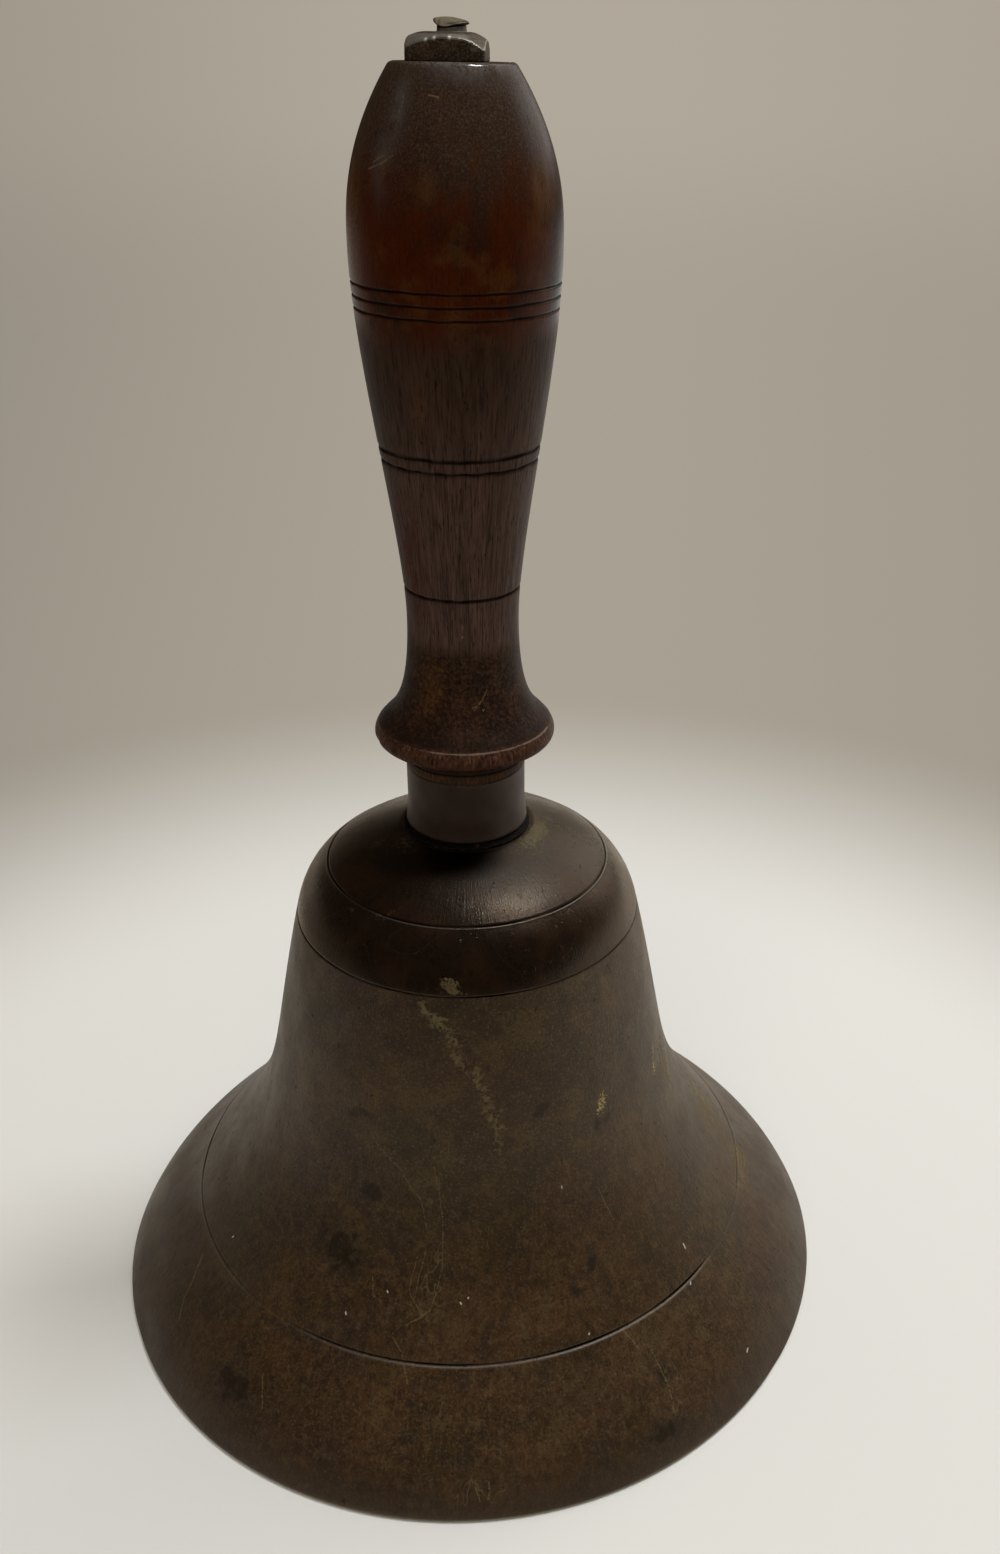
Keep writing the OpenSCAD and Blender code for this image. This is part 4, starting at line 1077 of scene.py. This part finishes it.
def nut(size, name, width, offset=0.0, wear=0.0):
    """Square nut: its outline is square(), its flat top falls away beyond a circle by fall times the share of
    the way to the side raised to the power dome, and it is drilled along the rod. wear rounds the right side
    more."""
    steps, edge, hole = size.steps * 2, size.edge, size.rod_d / 2
    low_z, high_z, flat_r = low(name).z, high(name).z, size.flat_r * width / 2
    angle = turns(steps)[0]
    ray = np.stack([np.cos(angle), np.sin(angle)], 1)
    centre = np.array([-offset, 0.0])
    reach = square(angle, width, size.corners * width / 2)[:, None]
    rim, bore = centre + reach * ray, hole * ray

    def top_at(place):
        away = np.linalg.norm(place - centre, axis=-1)
        share = np.maximum(away - flat_r, 0) / (width / 2 - flat_r)
        beyond = np.maximum(place[..., 0] / MM - 3, 0)
        return high_z - size.fall * share ** size.dome - wear * MM * beyond ** 1.8

    def spared(place, start, end):
        """Less rubbing towards the right of a nut that is worn there."""
        return 1 - 0.7 * smooth(place[:, 0], start * MM, end * MM) * (wear > 0)

    # Each row is its places, their heights and how rubbed they are: foot's edge, side, top and bore
    rows = [(rim - (1 - math.sin(bend)) * edge * ray, low_z + edge * (1 - math.cos(bend)), 0.25)
            for bend in np.linspace(0, math.pi / 2, 5)]
    wall_top = top_at(rim) - 0.4 * edge
    rows += [(rim, (low_z + edge) * (1 - share) + wall_top * share,
              smooth(share, 0.86, 1.0) * spared(rim, 0.5, 4)) for share in np.linspace(0.15, 1, 9)]
    for share in np.concatenate([[0.02, 0.045, 0.08, 0.12], np.linspace(0.18, 0.9, 14), [0.96, 1.0]]):
        place = rim * (1 - share) + bore * share
        level = top_at(place)
        rubbed = smooth(high_z - level, 0.1 * MM, 0.5 * MM) * spared(place, 1.5, 5)
        rows.append((place, level - 0.4 * edge * max(0, 1 - share / 0.05) ** 2,
                     0.55 * smooth(share, 0.1, 0.0) + 0.6 * rubbed))
    rows += [(bore, high_z * (1 - share) + low_z * share, 0.0) for share in np.linspace(0.1, 1, 5)]
    points = np.stack([np.column_stack([place, z + 0 * angle]) for place, z, _ in rows])
    worn = np.stack([rubbed + 0 * angle for *_, rubbed in rows])
    marks = {"worn": unit(worn)}
    if wear:
        x, y, z = np.moveaxis(points, -1, 0) / MM
        brim = wall_top / MM
        front = (y < -width / 2 / MM + 0.6) & (z < brim + 0.02)
        marks["worn"] = unit(worn + 0.5 * near(x, 4.2, 1.6) * near(z, low_z / MM + 1.9, 1.0) * front)
        # Painted highlights: three white glints along the front of the top edge
        sparks = sum(near(x, place, 0.20) for place in (-3.7, -2.3, 0.2))
        marks["glint"] = unit(sparks * near(z, brim, 0.22) * (y < -6))
    rough = hammered(np.arange(len(rows)) * MM, steps, 0.035, 41, 18, 0.8)[..., None]
    away = np.linalg.norm(points[..., :2] - centre, axis=-1, keepdims=True)
    points[..., :2] += (points[..., :2] - centre) / away * rough * (away > hole * 1.3)
    build(name, points, "nut_iron", HAND, name, marks=marks)


def about_pin(points, height):
    """Turns a piece about X so that its axis Z lies along +Y, at a height."""
    return np.stack([points[..., 0], points[..., 2], height - points[..., 1]], -1)


def washer(size, name, hole=ROD_HOLE, pin_z=None):
    """Round washer with worn edges: a closed profile turned about Z, or about the pin at height pin_z."""
    lowest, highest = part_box(name)
    radius = (highest.x - lowest.x) / 2
    a, b = (lowest.z, highest.z) if pin_z is None else (lowest.y, highest.y)
    loop = outline(side(radius, a, b, min(size.edge, (b - a) / 3)), (hole, b), (hole, a))
    run, line = refine(loop, 0.6 * MM)
    points = spin(line, size.steps, hammered(run, size.steps, 0.02, 47, 14, 1.0))
    if pin_z is not None:
        points = about_pin(points, pin_z)
    build(name, points, "washer_iron", HAND, name, marks={"worn": near(line[:, :1], radius, 0.5 * MM)})


class MakeTopFittings(bpy.types.Operator):
    """Make the worn square nut, its washer and the rod with its hammered end"""
    bl_idname = "handbell.make_top_fittings"
    bl_label = "Top nut and rod"

    def execute(self, context):
        size = context.scene.fitting_sizes
        nut(size, "top_nut", size.nut_w, size.nut_offset, 0.06)
        washer(size, "nut_washer")
        low_z, high_z, nut_top = low("centre_rod").z, high("centre_rod").z, high("top_nut").z
        radius, tip_r, head_r = size.rod_d / 2, size.rod_tip_d / 2, 3.15 * MM
        head_z, rise = high_z - size.rod_head_t, high_z - nut_top
        line = outline(
            (0, low_z), (radius - 0.4 * MM, low_z), (radius, low_z + 0.4 * MM), (radius, nut_top - 0.3 * MM),
            (tip_r, nut_top + 0.05 * MM), (tip_r - 0.05 * MM, head_z - 0.1 * MM),
            (tip_r + 0.15 * MM, head_z + 0.15 * MM), (head_r, high_z - 0.3 * MM),
            (head_r - 0.1 * MM, high_z - 0.08 * MM), (head_r - 0.5 * MM, high_z), (0, high_z))
        line = refine(line, 0.2 * MM)[1]
        line[-1, 0] = 0
        angle = turns(size.steps)
        points = spin(line, size.steps)
        head = smooth(line[:, 1:], head_z - 0.3 * MM, head_z + 0.2 * MM)
        head = head * smooth(line[:, :1], 1.2 * MM, 2.4 * MM)
        narrow = 1 - np.abs(np.cos(angle + 0.12)) ** 5
        pinch = 1 - head * 0.21 * narrow - 0.03 * head * (1 + sines(angle, 0, 52, 9))
        points[..., :2] *= pinch[..., None]
        across, deep = points[..., 0] / MM, points[..., 1] / MM
        x, y = across / 2.5, deep / 2.5
        above = np.maximum(points[..., 2] - nut_top, 0)
        slant = 0.70 - 0.09 * x + 0.30 * y - 0.36 * x * np.minimum(y, 0) + 0.015 * sines(angle, 0, 53, 7)
        points[..., 2] = np.where(above > 0, nut_top + above * np.clip(slant, 0.12, 1), points[..., 2])
        film = smooth(above, rise - 0.5 * MM, rise - 0.2 * MM)
        # Painted shadow: the dark line under the front of the head, with dark split, fin tips and seam lines
        edge = near(above, rise - 0.70 * MM, 0.42 * MM) * smooth(-y, -0.1, 0.4)
        split = near(x, -0.80, 0.05) * (y < 0) * smooth(above, 0.3 * MM, 0.6 * MM)
        tips = smooth(np.abs(x), 1.02, 1.14) * head
        seam = near(deep + 0.5 * np.sin(2.2 * across), 0.62 * across - 1.5, 0.55)
        seam = seam * film * smooth(across, -1.2, -0.2)
        marks = {"film": film, "crack": unit(edge + 0.8 * split + 0.75 * tips + 0.9 * seam)}
        build("centre_rod", points, "rod_iron", HAND, "centre_rod", marks=marks, closed=False)
        return {"FINISHED"}


class MakeFork(bpy.types.Operator):
    """Make the washer and nut inside the crown, the fork, its pin and the split pin"""
    bl_idname = "handbell.make_fork"
    bl_label = "Crown nut, fork and pin"

    def execute(self, context):
        size = context.scene.fitting_sizes
        washer(size, "crown_washer")
        nut(size, "crown_nut", size.crown_nut_w)
        boss_top, pin_z = high("clapper_fork").z, low("clapper_fork").z + size.cheek_w / 2
        boss_z, hole_z = boss_top - size.boss_h, boss_top - size.boss_hole
        radius, rod_r = size.boss_d / 2, size.rod_d / 2
        line = outline((0, boss_z), side(radius, boss_z, boss_top, size.edge), (rod_r, boss_top),
                       (rod_r, hole_z), (0, hole_z))
        run, line = refine(line, 0.8 * MM)
        rim = near(line[:, 1:], boss_z, 0.7 * MM) + near(line[:, 1:], boss_top, 0.7 * MM)
        points = spin(line, size.steps, hammered(run, size.steps, 0.04, 57, 12, 0.7))
        build("fork_boss", points, "fork_iron", HAND, "clapper_fork",
              marks={"worn": rim * near(line[:, :1], radius, 0.4 * MM)}, closed=False)
        for name, way in (("fork_cheek_front", -1), ("fork_cheek_back", 1)):
            self.cheek(size, name, way, pin_z, boss_z + size.cheek_root)
        self.pin(size, pin_z)
        washer(size, "pin_washer", size.pin_d / 2 + 0.03 * MM, pin_z)
        self.split_pin(size)
        return {"FINISHED"}

    def cheek(self, size, name, way, pin_z, top):
        """Plate round the pin: its outline is half a circle below the pin and a rectangle above it, and its
        edge is rounded. Each ray from the pin runs from the hole to the outline."""
        half, hole, near_y, edge = size.cheek_w / 2, size.pin_d / 2 + 0.03 * MM, size.fork_gap / 2, 0.45 * MM
        angle = turns(size.steps)[0]
        cosine, sine = np.cos(angle), np.sin(angle)
        box = np.minimum(half / np.maximum(np.abs(cosine), 1e-6), (top - pin_z) / np.maximum(sine, 1e-6))
        reach = np.where(sine > 0, box, half)
        a, b = sorted((way * near_y, way * (near_y + size.cheek_t)))
        face = [(hole + share * (reach - hole), 0.0) for share in (0, 0.3, 0.7)]
        face += [(reach - edge * (1 - math.sin(bend)), edge * (1 - math.cos(bend)))
                 for bend in np.linspace(0, math.pi / 2, 5)]
        rows = [(r, a + deep) for r, deep in face]
        rows += [(reach, a * (1 - share) + b * share) for share in (0.35, 0.5, 0.65)]
        rows += [(r, b - deep) for r, deep in reversed(face)] + [(hole, (a + b) / 2)]
        radius = np.stack([r + 0 * angle for r, _ in rows])
        dents = hammered(np.arange(len(rows)) * MM, size.steps, 0.05, 63 + way, 14, 0.6)
        radius = radius + dents * (radius > hole * 1.2)
        depth = np.array([y for _, y in rows])[:, None] + 0 * radius
        points = np.stack([radius * cosine, depth, pin_z + radius * sine], -1)[:, ::-1]
        worn = 0.8 * near(reach, radius, 0.5 * MM)[:, ::-1]
        build(name, points, "fork_iron", HAND, "clapper_fork", marks={"worn": worn})

    def pin(self, size, pin_z):
        """Pin turned about Y: a domed head, a plain shank and a chamfered end."""
        lowest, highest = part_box("pivot_pin")
        start, end, face = lowest.y, highest.y, low("clapper_fork").y
        head_r, shank_r = (highest.x - lowest.x) / 2, size.pin_d / 2
        line = outline((0, start), (head_r * 0.5, start + 0.12 * MM), (head_r * 0.75, start + 0.5 * MM),
                       (head_r * 0.95, face - 0.7 * MM), (head_r, face - 0.3 * MM), (head_r - 0.1 * MM, face),
                       (shank_r, face), (shank_r, end - 0.4 * MM), (shank_r - 0.4 * MM, end), (0, end))
        run, line = refine(line, 0.5 * MM)
        points = about_pin(spin(line, size.steps, hammered(run, size.steps, 0.03, 67, 9, 0.8)), pin_z)
        build("pivot_pin", points, "pin_steel", HAND, "pivot_pin",
              marks={"worn": smooth(line[:, :1], head_r * 0.6, head_r)}, closed=False)

    def split_pin(self, size):
        """Wire bent double: its centre line goes up one leg, round the eye and down the other leg, and its
        section is an ellipse that is wider across the plane of the bend than in it."""
        lowest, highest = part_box("split_pin")
        d = size.split_d
        eye_r, leg_low, leg, steps = 1.1 * d, lowest.z + 1.9 * d, d / 4, 16
        eye_z = highest.z - eye_r - d / 2
        out = toward(math.radians(-50)) * d
        ends = [np.array([leg, leg_low]) + share * out for share in (2.2, 1.1)]
        right = np.array([*ends, [leg + 0.1 * d, leg_low], [leg, leg_low + 0.4 * d],
                          [leg, eye_z - eye_r - 0.2 * d]])
        path = outline(right, arc((0, eye_z), eye_r, -60, 240, 27), right[::-1] * (-1, 1))
        path = refine(path, 0.25 * MM)[1]
        for _ in range(3):
            path[1:-1] = (path[:-2] + path[1:-1] * 2 + path[2:]) / 4
        swell = np.full((len(path), 1), d * 0.27)
        swell[[0, -1]] = 0
        angle = turns(steps)
        x, z = np.moveaxis(path[:, None] + outward(path)[:, None] * (np.cos(angle) * swell)[..., None], -1, 0)
        y = (lowest.y + highest.y) / 2 + np.sin(angle) * swell * 1.6
        build("split_pin", np.stack([x, y, z], -1)[:, ::-1], "pin_steel", HAND, "split_pin",
              marks={"worn": 0.4}, closed=False)


class MakeClapper(bpy.types.Operator):
    """Make the clapper: its eye, tapered stem, riveted end and ball with struck faces"""
    bl_idname = "handbell.make_clapper"
    bl_label = "Clapper"

    def execute(self, context):
        size = context.scene.fitting_sizes
        steps, stem_high = size.steps, high("clapper_stem").z
        pin_z = stem_high - size.eye_d / 2
        ball_low, ball_top, ball_r = low("clapper_ball").z, high("clapper_ball").z, high("clapper_ball").x
        foot, rivet_r, stem_top = low("clapper_stem").z, 3.8 * MM, pin_z - 4.1 * MM
        core_r, low_r, top_r = size.stem_core_d / 2, size.stem_low_d / 2, size.stem_top_d / 2
        line = outline((0, foot), (1.6 * MM, foot + 0.05 * MM), (core_r, foot + 0.3 * MM),
                       (rivet_r - 0.3 * MM, ball_low - 0.5 * MM), (rivet_r, ball_low), (core_r, ball_low),
                       (core_r, ball_top), (low_r, ball_top), (low_r, ball_top + 1.2 * MM),
                       (top_r, stem_top - 2 * MM), (top_r + 0.35 * MM, stem_top), (0, stem_top))
        run, line = refine(line, 1.0 * MM)
        flats = hammered(run, steps, 0.12, 73, 7, 0.25) * (line[:, :1] > 1 * MM)
        build("clapper_stem", spin(line, steps, flats), "clapper_iron", SWINGING, "clapper_stem",
              marks={"worn": near(line[:, 1:], ball_low, 0.8 * MM)}, closed=False)
        half, radius, hole, small = 3.0 * MM, size.eye_d / 2, size.pin_d / 2 + 0.08 * MM, 0.3 * MM
        loop = outline(side(radius, -half, half, 0.6 * MM),
                       arc((hole + small, half - small), small, 90, 180, 3),
                       arc((hole + small, -half + small), small, 180, 270, 3))
        run, line = refine(loop, 0.8 * MM)
        points = about_pin(spin(line, steps, hammered(run, steps, 0.05, 79, 9, 0.4)), pin_z)
        rim = near(line[:, :1], hole, 0.6 * MM) + 0.5 * near(line[:, :1], radius, 0.5 * MM)
        build("clapper_eye", points, "clapper_iron", SWINGING, "clapper_stem", marks={"worn": rim})
        bore, middle = core_r + 0.03 * MM, (ball_low + ball_top) / 2
        tilt = math.degrees(math.asin((ball_top - middle) / ball_r))
        loop = outline(arc((0, middle), ball_r, -tilt, tilt, 60), (bore, ball_top), (bore, ball_low))
        run, line = refine(loop, 0.6 * MM)
        direction = (spin(line, steps * 2) - (0, 0, middle)) / ball_r
        x, z = toward(math.radians(-CONTACT))
        struck = sum(smooth(direction @ (way * x, 0, z), 0.935, 0.985) for way in (-1, 1))
        bulge = hammered(run, steps * 2, 0.04, 83, 11, 0.6) - 0.10 * MM * struck
        points = spin(line, steps * 2, bulge * (line[:, :1] > bore + 0.5 * MM))
        build("clapper_ball", points, "clapper_iron", SWINGING, "clapper_ball", marks={"worn": struck})
        return {"FINISHED"}


# Each soft square lamp: its name, which is also that of its power in Studio, its direction from the bell, its
# distance and width in metres, its tint, and whether shiny surfaces show it
LAMPS = (
    ("overhead", (0.15, 0.1, 1.0), 1.7, 1.6, (1.0, 0.985, 0.96), False),
    ("front", (-0.1, -1.0, 0.7), 1.6, 1.2, (1.0, 0.96, 0.91), False),
    ("key", (0.345, 0.09, 0.935), 1.15, 0.2, (0.90, 0.95, 1.0), True),
    ("window", (0.60, 0.62, 0.52), 1.3, 0.95, (1.0, 0.99, 0.98), True),
    ("fill", (-0.89, 0.15, 0.42), 1.3, 0.9, (1.0, 0.94, 0.84), False),
)


class SetStage(bpy.types.Operator):
    """Set the camera, the lamps, the room light and the floor"""
    bl_idname = "handbell.set_stage"
    bl_label = "Camera, lamps and floor"

    def execute(self, context):
        scene, studio = context.scene, context.scene.bell_studio
        scene.view_settings.view_transform = "Standard"
        data = bpy.data.cameras.new("camera")
        long_side = max(studio.picture_w, studio.picture_h)
        data.sensor_width, data.sensor_fit = 36.0, "AUTO"
        data.lens = studio.focal_px / long_side * data.sensor_width
        data.shift_x = (studio.picture_w / 2 - studio.centre_px) / long_side
        data.clip_start = 0.01
        scene.camera = self.put(scene, "camera", data,
                                Matrix.Translation((studio.eye_x, -studio.eye_y, studio.eye_z))
                                @ Matrix.Rotation(math.pi / 2 - studio.pitch, 4, "X")
                                @ Matrix.Rotation(studio.roll, 4, "Z"))
        for name, direction, distance, width, tint, mirrored in LAMPS:
            data = bpy.data.lights.new(name, "AREA")
            data.energy, data.size, data.color = getattr(studio, name), width, tint
            way = Vector(direction).normalized()
            lamp = self.put(scene, name, data, Matrix.Translation(Vector((0, 0, 0.12)) + way * distance)
                            @ way.to_track_quat("Z", "Y").to_matrix().to_4x4())
            lamp.visible_camera, lamp.visible_glossy = False, mirrored
        self.under(scene, studio)
        self.room(scene, studio)
        self.floor(scene, studio)
        return {"FINISHED"}

    def put(self, scene, name, data, matrix):
        made = bpy.data.objects.new(name, data)
        scene.collection.objects.link(made)
        made.matrix_world = matrix
        return made

    def under(self, scene, studio):
        """Spot lamp below the floor. Its cone fits inside the mouth, so views from below show the clapper."""
        data = bpy.data.lights.new("under", "SPOT")
        data.energy, data.shadow_soft_size, data.color = studio.under, 0.03, (1.0, 0.97, 0.93)
        data.spot_size, data.spot_blend = 2 * math.atan2(0.9 * high("bell").x, 0.6), 0.1
        turned = Matrix.Rotation(math.pi, 4, "X")
        lamp = self.put(scene, "under", data, Matrix.Translation((0, 0, -0.6)) @ turned)
        lamp.visible_camera = lamp.visible_glossy = False

    def room(self, scene, studio):
        """Light from all round. The camera sees the colour of the wall, and shiny surfaces a dim brown."""
        scene.world = bpy.data.worlds.new("room")
        nodes = Nodes(scene.world)
        camera, glossy = (nodes.node("ShaderNodeLightPath", output="Is %s Ray" % kind)
                          for kind in ("Camera", "Glossy"))
        light = [studio.room * part for part in (1.0, 0.97, 0.93)]
        tone = nodes.over(light, (glossy, (0.030, 0.025, 0.019)), (camera, studio.wall))
        back = nodes.node("ShaderNodeBackground", inputs={"Color": tone, "Strength": 1.0})
        nodes.node("ShaderNodeOutputWorld", inputs={"Surface": back})

    def floor(self, scene, studio):
        """Round floor that curves up into a wall: a profile turned about Z."""
        line = outline((0, 0), (0.1, 0), (0.3, 0), (1.2, 0), arc((1.2, 0.6), 0.6, -90, 0, 16), (1.8, 1.0))
        points = spin(refine(line, 0.08)[1], 96)[:, ::-1]
        mesh = grid("floor", points, {}, closed=False, topped=False)
        paint = Paint("floor_paper")
        x, y, z, radius, mix = paint.x, paint.y, paint.z, paint.radius, paint.mix
        dark_wall, mid_wall, double_wall = ([share * part for part in studio.wall]
                                            for share in (0.12, 0.42, 2))
        black, mirror_dark, mirror_light = (0, 0, 0), (0.30, 0.27, 0.23), (1.25, 1.21, 1.15)
        far = radius.smooth(150, 330)
        way = x / (abs(y) + 600)
        shade = way.smooth(-0.42, -0.02, 0.86, 1.13) - way.smooth(0.02, 0.28) * 0.08
        wall = mix(z.smooth(500, 900), mix(shade * 0.5, black, double_wall), studio.wall)
        tone = mix(far, studio.floor, mix(z.smooth(200, 0, 0.0, 0.10), wall, black))
        lit = paint.node("ShaderNodeBsdfDiffuse", inputs={"Color": tone})
        camera, shadow, glossy, through = (paint.node("ShaderNodeLightPath", output="Is %s Ray" % kind)
                                           for kind in ("Camera", "Shadow", "Glossy", "Transmission"))
        ahead = y.smooth(-180, -320) * glossy
        mirrored = mix(x.smooth(-250, 450).most(y.smooth(240, 400) * 0.30), mirror_dark, mirror_light)
        mirrored = mix(z.smooth(0, 160), mirrored, mix(x.smooth(-400, 600), dark_wall, mid_wall))
        glow = mix(ahead, mix(glossy * far, tone, mirrored), studio.dim)
        glow = paint.node("ShaderNodeEmission", inputs={"Color": glow})
        seen = camera.most(glossy).most(through)
        body = paint.node("ShaderNodeMixShader", inputs={0: (seen * far).most(ahead), 1: lit, 2: glow})
        clear = paint.node("ShaderNodeBsdfTransparent")
        behind = paint.node("ShaderNodeNewGeometry", output="Backfacing")
        hidden = behind.most(shadow * radius.smooth(80, 78))
        shell = paint.node("ShaderNodeMixShader", inputs={0: hidden, 1: body, 2: clear})
        paint.node("ShaderNodeOutputMaterial", inputs={"Surface": shell})
        mesh.materials.append(paint.owner)
        floor = self.put(scene, "floor", mesh, Matrix())


MAKERS = (MakeBell, MakeHandle, MakeFerrule, MakeTopFittings, MakeFork, MakeClapper, SetStage)
GROUPS = {"bell_sizes": BellSizes, "handle_sizes": HandleSizes, "fitting_sizes": FittingSizes,
          "bell_finish": Finish, "bell_studio": Studio}


class HandBellPanel(bpy.types.Panel):
    """Lists the steps that build the hand bell"""
    bl_idname = "VIEW3D_PT_hand_bell"
    bl_label = "Hand bell"
    bl_space_type = "VIEW_3D"
    bl_region_type = "UI"
    bl_category = "Hand bell"

    def draw(self, context):
        for maker in MAKERS:
            self.layout.operator(maker.bl_idname)
        for name, group in GROUPS.items():
            box = self.layout.box()
            for field in group.__annotations__:
                box.prop(getattr(context.scene, name), field)


def register():
    for made in (*GROUPS.values(), *MAKERS, HandBellPanel):
        bpy.utils.register_class(made)
    for name, group in GROUPS.items():
        setattr(bpy.types.Scene, name, PointerProperty(type=group))


def unregister():
    for name in GROUPS:
        delattr(bpy.types.Scene, name)
    for made in reversed((*GROUPS.values(), *MAKERS, HandBellPanel)):
        bpy.utils.unregister_class(made)


def main():
    register()
    for maker in MAKERS:
        group, step = maker.bl_idname.split(".")
        getattr(getattr(bpy.ops, group), step)()


if __name__ == "__main__":
    main()
